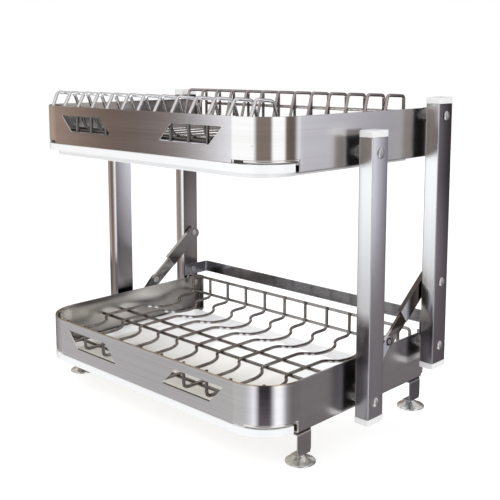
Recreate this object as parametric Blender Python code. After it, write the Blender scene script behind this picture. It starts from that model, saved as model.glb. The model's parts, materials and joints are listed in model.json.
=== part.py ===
# Two-tier folding dish rack: two stainless tiers on four swinging legs, with knee braces that fold.
# Metres, +Z up. The front faces -Y, the floor is z = 0, and the rack is centred on x = 0 and y = 0.
# A place called "back" is a distance behind the outer face of the front band.

import math

import bmesh
import bpy
from mathutils import Matrix, Vector

# Clearances and cuts
SEAT_GAP = 0.0003
CUT_OVERRUN = 0.002
ROUND_SIDES = 12
WIRE_SIDES = 6
ARC_STEPS = 3

# Tier frames: a front band with round corners that runs into deeper side panels
SHEET = 0.0012
FRAME_HALF_WIDTH = 0.2075
FRAME_DEPTH = 0.288
CORNER_RADIUS = 0.0495
CORNER_STEPS = 6
BAND_HEIGHT = 0.0475
PANEL_DROP = 0.011
LOWER_TIER_Z = 0.037
TIER_DROP = 0.002
RAIL_WIDTH = 0.0113
RAIL_LIP = 0.0075
RAIL_SETBACK = 0.004
RETURN_WIDTH = 0.0097
RETURN_RISE = 0.004

# Slanted windows in the front band
WINDOW_INNER = 0.0439
WINDOW_OUTER_MARGIN = 0.0141
WINDOW_HEIGHT = 0.0203
WINDOW_SLANT = 0.0207
WINDOW_TOP_MARGIN = 0.0113
WINDOW_CORNER = 0.002

# Wire work. Heights are counted from the middle of the floor wires.
WIRE_RADIUS = 0.0016
WELD_OFFSET = 0.0027
WIRE_FLOOR = 0.027
WIRE_BEND = 0.004

# Lower basket wires
BASKET_WIRES = 11
BASKET_SIDE_GAP = 0.019
BASKET_BEND = 0.0025
TIP_BACK = 0.005
TIP_HEIGHT = 0.0305
SHELF_HEIGHT = 0.011
DIP_BULGE = 0.010
FRONT_DIP_END = 0.0845
FENCE_INSET = 0.0295
SHELF_END_INSET = 0.129
REAR_DIP_START_INSET = 0.080
REAR_DIP_END_INSET = 0.0675
FENCE_HEIGHT = 0.0385
FENCE_BEND = 0.003
FRONT_ROD_BACK = 0.030

# Upper plate rack wires
RACK_WIRES = 13
RACK_SIDE_GAP = 0.0311
LOOP_HEIGHT = 0.048
KINK_HEIGHT = 0.0285
FRONT_LOOP_START = 0.0165
FRONT_LOOP_END = 0.042
FRONT_LOOP_FOOT = 0.0595
FRONT_LOOP_FALL = 0.0025
REAR_LOOP_FOOT_INSET = 0.0575
REAR_LOOP_START_INSET = 0.0445
REAR_LOOP_END_INSET = 0.011
REAR_LOOP_FALL = 0.0015
REAR_WIRE_HEIGHT = 0.009
RACK_FRONT_ROD_HEIGHT = 0.002
RACK_ROD_BACK = 0.067
RACK_ROD_INSET = 0.064
REAR_ROD_HEIGHT = 0.0256
REAR_ROD_OVERHANG = 0.0026

# Drip trays
TRAY_WALL = 0.002
TRAY_EDGE = 0.0025
TRAY_OUTLINE_INSET = 0.0005
TRAY_BELOW_FRAME = 0.0065
TRAY_TOP_CLEARANCE = 0.0006
TRAY_RAIL_CLEARANCE = 0.0035
TRAY_STEP_CLEARANCE = 0.0015
TRAY_STEP_RAKE = 0.001
TRAY_REAR_INSET = 0.0225
TRAY_REAR_CORNER = 0.008
WING_WIDTH = 0.0103
WING_THICKNESS = 0.0018

# Legs and their end caps
LEG_GAP = 0.0087
LEG_WIDTH = 0.0190
LEG_DEPTH = 0.0288
LEG_WALL = 0.0012
LEG_CORNER = 0.002
LEG_LENGTH = 0.3295
CAP_HEIGHT = 0.0095
CAP_EDGE = 0.0012
CAP_PLUG = 0.006
CAP_PROUD = 0.0002
FRONT_LEG_HEAD = 0.0248
FRONT_PIVOT_INSET = 0.1388
FRONT_PIVOT_RISE = 0.0133
FRONT_LEG_TAIL = 0.0252
REAR_PIVOT_INSET = 0.0093
REAR_PIVOT_RISE = 0.048
REAR_LEG_TAIL = 0.0282

# Pivot pins: a small inner head, a spacer in the gap, and a domed outer head
PIN_RADIUS = 0.003
PIN_CLEARANCE = 0.0003
SPACER_RADIUS = 0.0066
DOME_RADIUS = 0.0057
DOME_HEIGHT = 0.0024
INNER_HEAD_RADIUS = 0.0045
INNER_HEAD_HEIGHT = 0.0012

# Rear cross bar and its rivets
BAR_SHEET = 0.0014
BAR_HEIGHT = 0.0168
BAR_RISE = 0.0197
BAR_SETBACK = 0.017
BAR_CORNER = 0.005
BAR_ARM_REACH = 0.0135
BAR_RIVET_BACK = 0.003
BAR_RIVET_RADIUS = 0.0022
BAR_RIVET_HEAD_RADIUS = 0.004
BAR_RIVET_HEAD = 0.001

# Knee braces
BRACE_TOP_RISE = 0.0794
KNEE_FORWARD = 0.0777
KNEE_RISE = 0.0185
LOWER_LINK = 0.060
LOWER_LINK_SLOPE = 45.0
LINK_SHEET = 0.0008
LINK_HALF_DEPTH = 0.006
LINK_NARROW_HALF_DEPTH = 0.0052
LINK_WIDE_HALF_DEPTH = 0.0085
LINK_WIDE_END = 0.038
LINK_NOTCH = 0.021
LINK_NEST_GAP = 0.0004
LINK_PIN_RADIUS = 0.002
LINK_HEAD_RADIUS = 0.0042
LINK_HEAD = 0.0006

# Feet
FOOT_INSET = 0.0007
FOOT_FLANGE = 0.0115
FOOT_FRONT_BACK = 0.0605
FOOT_REAR_INSET = 0.0165
FOOT_STRIP = 0.022
FOOT_TONGUE = 0.020
FOOT_SHEET = 0.0015
TONGUE_TOP = 0.0120
TONGUE_SHOULDER = 0.0010
DISC_RADIUS = 0.0167
DISC_RIM = 0.0018
DISC_CONE = 0.0072
HUB_RADIUS = 0.005
HUB_HEIGHT = 0.0085

# Places that follow from the sizes
LEG_INSIDE = FRAME_HALF_WIDTH + LEG_GAP
LEG_OUTSIDE = LEG_INSIDE + LEG_WIDTH
PANEL_INSIDE = FRAME_HALF_WIDTH - SHEET
PANEL_HEIGHT = BAND_HEIGHT + PANEL_DROP
SWING_LENGTH = LEG_LENGTH - FRONT_LEG_TAIL - FRONT_LEG_HEAD
UPPER_TIER_Z = LOWER_TIER_Z + SWING_LENGTH - TIER_DROP
FRONT_PIVOT_BACK = FRAME_DEPTH - FRONT_PIVOT_INSET
REAR_PIVOT_BACK = FRAME_DEPTH - REAR_PIVOT_INSET
OVERALL_DEPTH = REAR_PIVOT_BACK + LEG_DEPTH / 2 + BAR_SETBACK + BAR_SHEET
FRONT_PIVOT_Z = LOWER_TIER_Z + FRONT_PIVOT_RISE
REAR_PIVOT_Z = LOWER_TIER_Z + REAR_PIVOT_RISE
ROD_HALF_WIDTH = PANEL_INSIDE - SEAT_GAP
PIN_HOLE_RADIUS = PIN_RADIUS + PIN_CLEARANCE
LINK_HOLE_RADIUS = LINK_PIN_RADIUS + PIN_CLEARANCE
BRACE_TOP = (REAR_PIVOT_BACK, REAR_PIVOT_Z + BRACE_TOP_RISE)
KNEE = (REAR_PIVOT_BACK - KNEE_FORWARD, REAR_PIVOT_Z + KNEE_RISE)
SLOPE = math.radians(LOWER_LINK_SLOPE)
BRACE_FOOT = (KNEE[0] - LOWER_LINK * math.cos(SLOPE), KNEE[1] - LOWER_LINK * math.sin(SLOPE))
LINK_INSIDE = FRAME_HALF_WIDTH + 2 * SEAT_GAP + LINK_HEAD
LINK_OUTSIDE = LEG_INSIDE - 2 * SEAT_GAP - LINK_HEAD

CORNER_CENTRE = FRAME_HALF_WIDTH - CORNER_RADIUS
WINDOW_WIDTH = CORNER_CENTRE - WINDOW_OUTER_MARGIN - WINDOW_SLANT - WINDOW_INNER
BASKET_PITCH = 2 * (FRAME_HALF_WIDTH - BASKET_SIDE_GAP) / (BASKET_WIRES - 1)
RACK_PITCH = 2 * (FRAME_HALF_WIDTH - RACK_SIDE_GAP) / (RACK_WIRES - 1)
FENCE_BACK = FRAME_DEPTH - FENCE_INSET
REAR_LOOP_END = FRAME_DEPTH - REAR_LOOP_END_INSET
TRAY_DEPTH = FRAME_DEPTH - TRAY_REAR_INSET
CORNER_ROOM = (CORNER_RADIUS - SHEET) * math.cos(math.pi / 4 / CORNER_STEPS) - SEAT_GAP

# Shapes of bends and heads, as shares of their own length and height
S_BEND_SHARES = ((0, 0), (1, 0.32), (0.76, 0.86), (1.35, 1))
DESCENT_SHARES = ((0, 1), (0.33, 0.59), (0.65, 0.2), (1, 0.03))
LINK_ROUND_SHARE = 0.9
SHELF_ROD_SHARES = (0.05, 0.575)
DOME_SHARES = ((1, 0), (0.86, 0.55), (0.45, 1))

# name, colour, roughness, metallic
BRUSHED = ("brushed_steel", (0.62, 0.60, 0.58), 0.32, 1.0)
WIRE_STEEL = ("wire_steel", (0.55, 0.54, 0.54), 0.22, 1.0)
LINK_STEEL = ("link_steel", (0.40, 0.38, 0.36), 0.35, 1.0)
POLISHED = ("polished_steel", (0.78, 0.78, 0.79), 0.15, 1.0)
WHITE = ("white_plastic", (0.90, 0.90, 0.88), 0.35, 0.0)


def y_at(back):
    return back - OVERALL_DEPTH / 2


def along_x(back, z, x):
    return Vector((x, y_at(back), z))


def along_y(x, z, back):
    return Vector((x, y_at(back), z))


def along_z(x, back, z):
    return Vector((x, y_at(back), z))


def circle(centre, radius, sides=ROUND_SIDES):
    turns = [2 * math.pi * i / sides for i in range(sides)]
    return [(centre[0] + radius * math.cos(t), centre[1] + radius * math.sin(t)) for t in turns]


def rounded(points, radius, closed=True, steps=ARC_STEPS):
    """The same outline with each corner turned into an arc. An open path keeps its two ends."""
    made = []
    count = len(points)
    for i, point in enumerate(points):
        if not closed and i in (0, count - 1):
            made.append(tuple(point))
            continue
        corner = Vector(point)
        before = (Vector(points[i - 1]) - corner).normalized()
        after = (Vector(points[(i + 1) % count]) - corner).normalized()
        half = before.angle(after) / 2
        centre = corner + (before + after).normalized() * radius / math.sin(half)
        start = corner + before * radius / math.tan(half) - centre
        end = corner + after * radius / math.tan(half) - centre
        turn = start.angle_signed(end)
        for k in range(steps + 1):
            arm = start.copy()
            arm.rotate(Matrix.Rotation(-turn * k / steps, 2))
            made.append(tuple(centre + arm))
    return made


def box_outline(a0, a1, b0, b1):
    return [(a0, b0), (a1, b0), (a1, b1), (a0, b1)]


def inset(points, distance):
    """A closed outline moved inwards, each side by the same distance."""
    area = sum(p[0] * q[1] - q[0] * p[1] for p, q in zip(points, points[1:] + points[:1]))
    inward = distance * math.copysign(1, area)
    made = []
    for i, point in enumerate(points):
        corner = Vector(point)
        before = (corner - Vector(points[i - 1])).normalized()
        after = (Vector(points[(i + 1) % len(points)]) - corner).normalized()
        normals = Vector((-before.y, before.x)) + Vector((-after.y, after.x))
        made.append(tuple(corner + normals * inward * 2 / normals.length_squared))
    return made


def add_stack(shape, layers, place, hollow=False, neck=None):
    """Skins a stack of matching outlines. The ends are closed, or joined to each other if it is hollow.

    A T-shaped outline gives its neck, the number of points before its stem, and each end gets two faces.
    """
    rings = [[shape.verts.new(place(a, b, height)) for a, b in outline] for outline, height in layers]
    pairs = list(zip(rings, rings[1:]))
    if hollow:
        pairs.append((rings[-1], rings[0]))
    else:
        for ring in (rings[0], rings[-1]):
            if neck:
                shape.faces.new(ring[:neck + 1] + ring[-1:])
                shape.faces.new(ring[neck:])
            else:
                shape.faces.new(ring)
    for low, high in pairs:
        for i in range(len(low)):
            shape.faces.new((low[i - 1], low[i], high[i], high[i - 1]))


def add_prism(shape, outline, low, high, place):
    add_stack(shape, [(outline, low), (outline, high)], place)


def add_turned(shape, centre, profile, place, sides=ROUND_SIDES):
    """A turned solid. Its profile is a list of (radius, height) pairs from one end to the other."""
    add_stack(shape, [(circle(centre, radius, sides), height) for radius, height in profile], place)


def add_wire(shape, path, x):
    """A round wire along a path of (back, z) points, all at one x."""
    rings = []
    for i, point in enumerate(path):
        here = Vector(point)
        before = (here - Vector(path[i - 1])).normalized() if i else None
        after = (Vector(path[i + 1]) - here).normalized() if i + 1 < len(path) else before
        before = before or after
        along = (before + after).normalized()
        across = Vector((-along.y, along.x)) / along.dot(after)
        ring = []
        for k in range(WIRE_SIDES):
            turn = 2 * math.pi * k / WIRE_SIDES
            spot = here + across * WIRE_RADIUS * math.sin(turn)
            ring.append(shape.verts.new(along_x(spot.x, spot.y, x + WIRE_RADIUS * math.cos(turn))))
        rings.append(ring)
    shape.faces.new(rings[0])
    shape.faces.new(rings[-1])
    for low, high in zip(rings, rings[1:]):
        for i in range(WIRE_SIDES):
            shape.faces.new((low[i - 1], low[i], high[i], high[i - 1]))


def add_rod(shape, back, z, half_width):
    add_prism(shape, circle((back, z), WIRE_RADIUS, WIRE_SIDES), -half_width, half_width, along_x)


def material(finish):
    name, colour, roughness, metallic = finish
    found = bpy.data.materials.get(name)
    if found:
        return found
    made = bpy.data.materials.new(name)
    made.use_nodes = True
    shader = made.node_tree.nodes["Principled BSDF"]
    shader.inputs["Base Color"].default_value = (*colour, 1.0)
    shader.inputs["Roughness"].default_value = roughness
    shader.inputs["Metallic"].default_value = metallic
    return made


def origin_of(thing):
    place = Vector()
    while thing:
        place += thing.location
        thing = thing.parent
    return place


def joint_axis(name, x, spot, parent=None):
    """An empty on a joint's axis. The pieces of one moving body hang from it."""
    made = bpy.data.objects.new(name, None)
    made.parent = parent
    made.location = along_x(*spot, x) - origin_of(parent)
    bpy.context.scene.collection.objects.link(made)
    return made


def put(name, shape, finish, parent=None, outward=True):
    """Makes a shape in world space into an object that hangs from its joint's empty."""
    if outward:
        bmesh.ops.recalc_face_normals(shape, faces=shape.faces)
    bmesh.ops.translate(shape, verts=shape.verts, vec=-origin_of(parent))
    mesh = bpy.data.meshes.new(name)
    shape.to_mesh(mesh)
    shape.free()
    mesh.materials.append(material(finish))
    mesh.shade_smooth()
    mesh.set_sharp_from_angle(angle=math.radians(35))
    made = bpy.data.objects.new(name, mesh)
    made.parent = parent
    bpy.context.scene.collection.objects.link(made)
    return made


def combine(target, tool_name, shape, operation):
    """Cuts a shape out of an object, or joins it on, with a tool that isn't part of the rack."""
    tool = put(tool_name, shape, BRUSHED)
    tool.hide_render = True
    tool.display_type = "WIRE"
    step = target.modifiers.new(tool_name, "BOOLEAN")
    step.operation = operation
    step.solver = "EXACT"
    step.object = tool


def thicken(target, thickness):
    """Gives a skin its sheet thickness, on the side away from its normals."""
    step = target.modifiers.new("sheet", "SOLIDIFY")
    step.thickness = thickness
    step.offset = -1.0
    step.use_even_offset = True


def add_skin(shape, known, rows):
    """Joins rows of points across a sheet into quads. A point that is already known is used again."""
    for row in rows:
        for point in row:
            key = tuple(round(c, 6) for c in point)
            if key not in known:
                known[key] = shape.verts.new(point)
    for low, high in zip(rows, rows[1:]):
        for i in range(len(low) - 1):
            quad = (low[i], low[i + 1], high[i + 1], high[i])
            shape.faces.new([known[tuple(round(c, 6) for c in point)] for point in quad])


def skin_rows(plan, heights):
    return [[along_z(x, back, z) for x, back in plan] for z in heights]


def clear_scene():
    for thing in list(bpy.data.objects):
        bpy.data.objects.remove(thing, do_unlink=True)


def window_outline(side, base_z):
    """One slanted window, wider apart at the top: the left and right ones are mirror images."""
    top = base_z + PANEL_HEIGHT - WINDOW_TOP_MARGIN
    bottom = top - WINDOW_HEIGHT
    corners = [
        (WINDOW_INNER, bottom),
        (WINDOW_INNER + WINDOW_WIDTH, bottom),
        (WINDOW_INNER + WINDOW_WIDTH + WINDOW_SLANT, top),
        (WINDOW_INNER + WINDOW_SLANT, top),
    ]
    return rounded([(side * x, z) for x, z in corners], WINDOW_CORNER)


def build_frame(name, base_z, pivots, parent=None):
    """The folded sheet of one tier, with its windows and the holes for its pins."""
    shape = bmesh.new()
    known = {}
    top = base_z + PANEL_HEIGHT
    band_bottom = base_z + PANEL_DROP
    return_bottom = base_z + RETURN_RISE
    right = [
        (FRAME_HALF_WIDTH - RETURN_WIDTH, FRAME_DEPTH),
        (FRAME_HALF_WIDTH, FRAME_DEPTH),
        (FRAME_HALF_WIDTH, FRAME_DEPTH - RAIL_SETBACK),
        (FRAME_HALF_WIDTH, CORNER_RADIUS),
    ]
    corner = [(FRAME_HALF_WIDTH, FRAME_DEPTH), (FRAME_HALF_WIDTH, 0), (0, 0)]
    arc = rounded(corner, CORNER_RADIUS, closed=False, steps=CORNER_STEPS)[2:-1]
    half = right + arc
    left = [(-x, back) for x, back in reversed(right)]
    whole = half + [(-x, back) for x, back in reversed(half)]
    add_skin(shape, known, skin_rows(whole, (top, band_bottom)))
    for side, plan in ((1, right), (-1, left)):
        without_return = plan[1:] if side > 0 else plan[:-1]
        rail_plan = plan[2:] if side > 0 else plan[:-2]
        add_skin(shape, known, skin_rows(plan, (band_bottom, return_bottom)))
        add_skin(shape, known, skin_rows(without_return, (return_bottom, base_z)))
        edge = [along_z(x, back, base_z) for x, back in rail_plan]
        rail = [along_z(x - side * RAIL_WIDTH, back, base_z) for x, back in rail_plan]
        lip = [along_z(x - side * RAIL_WIDTH, back, base_z + RAIL_LIP) for x, back in rail_plan]
        add_skin(shape, known, [edge, rail, lip])
    frame = put(name, shape, BRUSHED, parent, outward=False)
    thicken(frame, SHEET)
    cuts = bmesh.new()
    for side in (1, -1):
        add_prism(cuts, window_outline(side, base_z), -CUT_OVERRUN, SHEET + CUT_OVERRUN, along_y)
    reach = FRAME_HALF_WIDTH + CUT_OVERRUN
    for spot, radius in pivots:
        add_prism(cuts, circle(spot, radius), -reach, reach, along_x)
    combine(frame, name + "_cutter", cuts, "DIFFERENCE")
    return frame


def rod_reach(back):
    """How far a rod can go sideways inside the tier before it meets a side panel or a round corner."""
    if back - WIRE_RADIUS > CORNER_RADIUS:
        return ROD_HALF_WIDTH
    rise = CORNER_RADIUS - (back - WIRE_RADIUS)
    return CORNER_CENTRE + math.sqrt(CORNER_ROOM ** 2 - rise ** 2)


def tip_back(x):
    """Where a wire's front end stands: in line with the others, or further back inside a round corner."""
    side = max(0, abs(x) + WIRE_RADIUS - CORNER_CENTRE)
    return max(TIP_BACK, CORNER_RADIUS - math.sqrt(CORNER_ROOM ** 2 - side ** 2) + WIRE_RADIUS)


def s_bend(start, bulge):
    return [(start + a * bulge, b * SHELF_HEIGHT) for a, b in S_BEND_SHARES]


def basket_path(floor, tip):
    """One lower wire: a dip at the front, a shelf, a second dip, and a fence at the rear."""
    shelf_end = FRAME_DEPTH - SHELF_END_INSET
    descent = FRAME_DEPTH - REAR_DIP_START_INSET - shelf_end
    corners = [(tip, TIP_HEIGHT), (tip, 0)]
    corners += s_bend(FRONT_DIP_END, DIP_BULGE)
    corners += [(shelf_end + a * descent, b * SHELF_HEIGHT) for a, b in DESCENT_SHARES]
    corners += s_bend(FRAME_DEPTH - REAR_DIP_END_INSET, DIP_BULGE)
    corners += [(FENCE_BACK - FENCE_BEND, SHELF_HEIGHT)]
    corners += [(FENCE_BACK, SHELF_HEIGHT + FENCE_BEND), (FENCE_BACK, FENCE_HEIGHT + WIRE_RADIUS)]
    bent = rounded(corners[:3], BASKET_BEND, closed=False, steps=2)[:-1] + corners[2:]
    return [(back, floor + z) for back, z in bent]


def rack_path(floor, tip):
    """One upper wire: a front leg, a loop, the floor, a rear loop, and a rear leg."""
    corners = [
        (tip, 0),
        (tip, KINK_HEIGHT),
        (FRONT_LOOP_START, LOOP_HEIGHT),
        (FRONT_LOOP_END, LOOP_HEIGHT - FRONT_LOOP_FALL),
        (FRONT_LOOP_FOOT, 0),
        (FRAME_DEPTH - REAR_LOOP_FOOT_INSET, 0),
        (FRAME_DEPTH - REAR_LOOP_START_INSET, LOOP_HEIGHT - REAR_LOOP_FALL),
        (REAR_LOOP_END, LOOP_HEIGHT - 2 * REAR_LOOP_FALL),
        (REAR_LOOP_END, REAR_WIRE_HEIGHT),
    ]
    return [(back, floor + z) for back, z in rounded(corners, WIRE_BEND, closed=False, steps=1)]


def build_rack(name, path_of, floor, count, pitch, rods, parent=None):
    """Wires side by side, joined into one piece by the rods that cross them."""
    shape = bmesh.new()
    for i in range(count):
        x = (i - (count - 1) / 2) * pitch
        add_wire(shape, path_of(floor, tip_back(x)), x)
    rack = put(name, shape, WIRE_STEEL, parent)
    cross = bmesh.new()
    for back, z, half_width in rods:
        add_rod(cross, back, z, half_width)
    combine(rack, name + "_rods", cross, "UNION")
    return rack


def build_tray(name, base_z, parent=None):
    """A white drip tray: a wide front lip, a bowl between the rails, and a wing that rides on each rail."""
    bottom = base_z - TRAY_BELOW_FRAME
    top = base_z + PANEL_DROP - TRAY_TOP_CLEARANCE
    wide = FRAME_HALF_WIDTH - TRAY_OUTLINE_INSET
    bowl = FRAME_HALF_WIDTH - RAIL_WIDTH - TRAY_RAIL_CLEARANCE
    front = TRAY_OUTLINE_INSET
    step = CORNER_RADIUS - TRAY_STEP_CLEARANCE
    lip_end = step - TRAY_STEP_RAKE
    radius = lip_end - front - SEAT_GAP
    lip = [(wide, lip_end), (wide, front), (-wide, front), (-wide, lip_end)]
    rear = [(-bowl, step), (-bowl, TRAY_DEPTH), (bowl, TRAY_DEPTH), (bowl, step)]
    outline = rounded(lip, radius, closed=False, steps=CORNER_STEPS)
    neck = len(outline)
    outline += rounded(rear, TRAY_REAR_CORNER, closed=False)
    layers = [
        (inset(outline, TRAY_EDGE), bottom),
        (outline, bottom + TRAY_EDGE),
        (outline, top),
        (inset(outline, TRAY_WALL), top),
        (inset(outline, TRAY_WALL), bottom + TRAY_WALL + TRAY_EDGE),
        (inset(outline, TRAY_WALL + TRAY_EDGE), bottom + TRAY_WALL),
    ]
    shape = bmesh.new()
    add_stack(shape, layers, along_z, neck=neck)
    tray = put(name, shape, WHITE, parent)
    wings = bmesh.new()
    wing_low = base_z + RAIL_LIP + SEAT_GAP
    for side in (1, -1):
        inner = side * (bowl - TRAY_WALL / 2)
        outer = side * (bowl + WING_WIDTH)
        plan = box_outline(inner, outer, step - TRAY_WALL / 2, TRAY_DEPTH - TRAY_REAR_CORNER)
        add_prism(wings, plan, wing_low, wing_low + WING_THICKNESS, along_z)
    combine(tray, name + "_wings", wings, "UNION")
    return tray


def leg_outline(side, back, grow=0.0):
    """A leg's section seen from above, or the same section grown or shrunk."""
    inside = side * LEG_INSIDE
    outside = side * LEG_OUTSIDE
    outline = rounded(box_outline(inside, outside, back - LEG_DEPTH / 2, back + LEG_DEPTH / 2), LEG_CORNER)
    return inset(outline, -grow)


def build_leg(name, side, back, bottom, through, inner_only, parent):
    """A tube with a cap in each end, drilled for its pins right through or in its inner wall only."""
    low = bottom + CAP_HEIGHT
    high = bottom + LEG_LENGTH - CAP_HEIGHT
    outer = leg_outline(side, back)
    inner = leg_outline(side, back, -LEG_WALL)
    shape = bmesh.new()
    add_stack(shape, [(outer, low), (outer, high), (inner, high), (inner, low)], along_z, hollow=True)
    leg = put(name, shape, BRUSHED, parent)
    cuts = bmesh.new()
    near = side * (LEG_INSIDE - CUT_OVERRUN)
    far = side * (LEG_OUTSIDE + CUT_OVERRUN)
    wall = side * (LEG_INSIDE + LEG_WALL + CUT_OVERRUN)
    for z in through:
        add_prism(cuts, circle((back, z), PIN_HOLE_RADIUS), near, far, along_x)
    for spot, radius in inner_only:
        add_prism(cuts, circle(spot, radius), near, wall, along_x)
    combine(leg, name + "_cutter", cuts, "DIFFERENCE")
    build_cap(name + "_top_cap", side, back, high, 1, parent)
    build_cap(name + "_bottom_cap", side, back, low, -1, parent)
    return leg


def build_cap(name, side, back, end, up, parent):
    """A plastic cap: a plug inside the tube and a head with eased edges that covers its end."""
    plug = leg_outline(side, back, -LEG_WALL - SEAT_GAP)
    head = leg_outline(side, back, CAP_PROUD)
    seat = end + up * SEAT_GAP
    crown = end + up * CAP_HEIGHT
    layers = [
        (plug, end - up * CAP_PLUG),
        (plug, seat),
        (head, seat),
        (head, crown - up * CAP_EDGE),
        (leg_outline(side, back, CAP_PROUD - CAP_EDGE), crown),
    ]
    shape = bmesh.new()
    add_stack(shape, layers, along_z)
    return put(name, shape, WHITE, parent)


def build_pin(name, side, spot, profile, finish, parent=None):
    """A turned pin across the rack. Its profile is (radius, distance from the middle) pairs."""
    shape = bmesh.new()
    add_turned(shape, spot, [(radius, side * x) for radius, x in profile], along_x)
    return put(name, shape, finish, parent)


def pivot_profile():
    head = PANEL_INSIDE - SEAT_GAP
    spacer = FRAME_HALF_WIDTH + SEAT_GAP
    spacer_end = LEG_INSIDE - SEAT_GAP
    dome = LEG_OUTSIDE + SEAT_GAP
    return [
        (INNER_HEAD_RADIUS, head - INNER_HEAD_HEIGHT),
        (INNER_HEAD_RADIUS, head),
        (PIN_RADIUS, head),
        (PIN_RADIUS, spacer),
        (SPACER_RADIUS, spacer),
        (SPACER_RADIUS, spacer_end),
        (PIN_RADIUS, spacer_end),
        (PIN_RADIUS, dome),
    ] + [(DOME_RADIUS * a, dome + DOME_HEIGHT * b) for a, b in DOME_SHARES]


def link_outline(origin, angle, points, web_side):
    """Points along and across a link, turned to where the link lies. The web is on the positive side."""
    made = []
    for along, across in points:
        t = across * web_side
        made.append((
            origin[0] + along * math.cos(angle) - t * math.sin(angle),
            origin[1] + along * math.sin(angle) + t * math.cos(angle),
        ))
    return made


def build_lower_link(name, side, parent):
    """A channel from the tier to the knee. Near the knee its web is notched, so the other link can pass."""
    end = LOWER_LINK + LINK_HALF_DEPTH
    over = LINK_HALF_DEPTH + CUT_OVERRUN
    web = LINK_HALF_DEPTH - LINK_SHEET
    notch = LOWER_LINK - LINK_NOTCH
    body = rounded(
        box_outline(-LINK_HALF_DEPTH, end, -LINK_HALF_DEPTH, LINK_HALF_DEPTH),
        LINK_HALF_DEPTH * LINK_ROUND_SHARE,
    )
    pocket = [(-over, -over), (end + over, -over), (end + over, over), (notch, over), (notch, web), (-over, web)]
    shape = bmesh.new()
    outline = link_outline(BRACE_FOOT, SLOPE, body, 1)
    add_prism(shape, outline, side * LINK_INSIDE, side * LINK_OUTSIDE, along_x)
    link = put(name, shape, LINK_STEEL, parent)
    cuts = bmesh.new()
    outline = link_outline(BRACE_FOOT, SLOPE, pocket, 1)
    add_prism(cuts, outline, side * (LINK_INSIDE + LINK_SHEET), side * (LINK_OUTSIDE - LINK_SHEET), along_x)
    combine(link, name + "_channel", cuts, "DIFFERENCE")
    drill_link(link, name, side, (BRACE_FOOT, KNEE))
    return link


def build_upper_link(name, side, parent):
    """A stepped channel from the rear leg to the knee. Its narrow end goes between the other link's cheeks."""
    drop = Vector(KNEE) - Vector(BRACE_TOP)
    angle = math.atan2(drop.y, drop.x)
    wide_end = drop.length - LINK_WIDE_END
    end = drop.length + LINK_NARROW_HALF_DEPTH
    over = LINK_WIDE_HALF_DEPTH + CUT_OVERRUN
    wide = rounded(
        box_outline(-LINK_WIDE_HALF_DEPTH, wide_end, -LINK_WIDE_HALF_DEPTH, LINK_WIDE_HALF_DEPTH),
        LINK_HALF_DEPTH,
    )
    narrow = box_outline(wide_end - LINK_SHEET, end, -LINK_NARROW_HALF_DEPTH, LINK_NARROW_HALF_DEPTH)
    nest_low = LINK_INSIDE + LINK_SHEET + LINK_NEST_GAP
    nest_high = LINK_OUTSIDE - LINK_SHEET - LINK_NEST_GAP
    shape = bmesh.new()
    add_prism(shape, link_outline(BRACE_TOP, angle, wide, -1), side * LINK_INSIDE, side * LINK_OUTSIDE, along_x)
    link = put(name, shape, LINK_STEEL, parent)
    tongue = bmesh.new()
    add_prism(tongue, link_outline(BRACE_TOP, angle, narrow, -1), side * nest_low, side * nest_high, along_x)
    combine(link, name + "_tongue", tongue, "UNION")
    wide_web = LINK_WIDE_HALF_DEPTH - LINK_SHEET
    narrow_web = LINK_NARROW_HALF_DEPTH - LINK_SHEET
    wide_cut = box_outline(-over, wide_end - LINK_SHEET, -over, wide_web)
    narrow_cut = box_outline(wide_end, end + over, -over, narrow_web)
    cuts = bmesh.new()
    for outline, low, high in (
        (wide_cut, LINK_INSIDE + LINK_SHEET, LINK_OUTSIDE - LINK_SHEET),
        (narrow_cut, nest_low + LINK_SHEET, nest_high - LINK_SHEET),
    ):
        add_prism(cuts, link_outline(BRACE_TOP, angle, outline, -1), side * low, side * high, along_x)
    combine(link, name + "_channel", cuts, "DIFFERENCE")
    drill_link(link, name, side, (BRACE_TOP, KNEE))
    return link


def drill_link(link, name, side, spots):
    low = side * (LINK_INSIDE - CUT_OVERRUN)
    high = side * (LINK_OUTSIDE + CUT_OVERRUN)
    holes = bmesh.new()
    for spot in spots:
        add_prism(holes, circle(spot, LINK_HOLE_RADIUS), low, high, along_x)
    combine(link, name + "_holes", holes, "DIFFERENCE")


def build_cross_bar(name, parent):
    """The bent strip behind the rear legs, with an arm along the inner face of each leg."""
    width = LEG_INSIDE - SEAT_GAP
    front = REAR_PIVOT_BACK - BAR_ARM_REACH
    low = REAR_PIVOT_Z + BAR_RISE - BAR_HEIGHT / 2
    corners = [(-width, front), (-width, OVERALL_DEPTH), (width, OVERALL_DEPTH), (width, front)]
    plan = rounded(corners, BAR_CORNER, closed=False)
    shape = bmesh.new()
    add_skin(shape, {}, skin_rows(plan, (low + BAR_HEIGHT, low)))
    bar = put(name, shape, BRUSHED, parent, outward=False)
    thicken(bar, BAR_SHEET)
    holes = bmesh.new()
    for side in (1, -1):
        near = side * (width - BAR_SHEET - CUT_OVERRUN)
        far = side * (width + CUT_OVERRUN)
        add_prism(holes, circle(bar_rivet_spot(), BAR_RIVET_RADIUS + PIN_CLEARANCE), near, far, along_x)
    combine(bar, name + "_holes", holes, "DIFFERENCE")
    return bar


def bar_rivet_spot():
    return (REAR_PIVOT_BACK + BAR_RIVET_BACK, REAR_PIVOT_Z + BAR_RISE)


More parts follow.
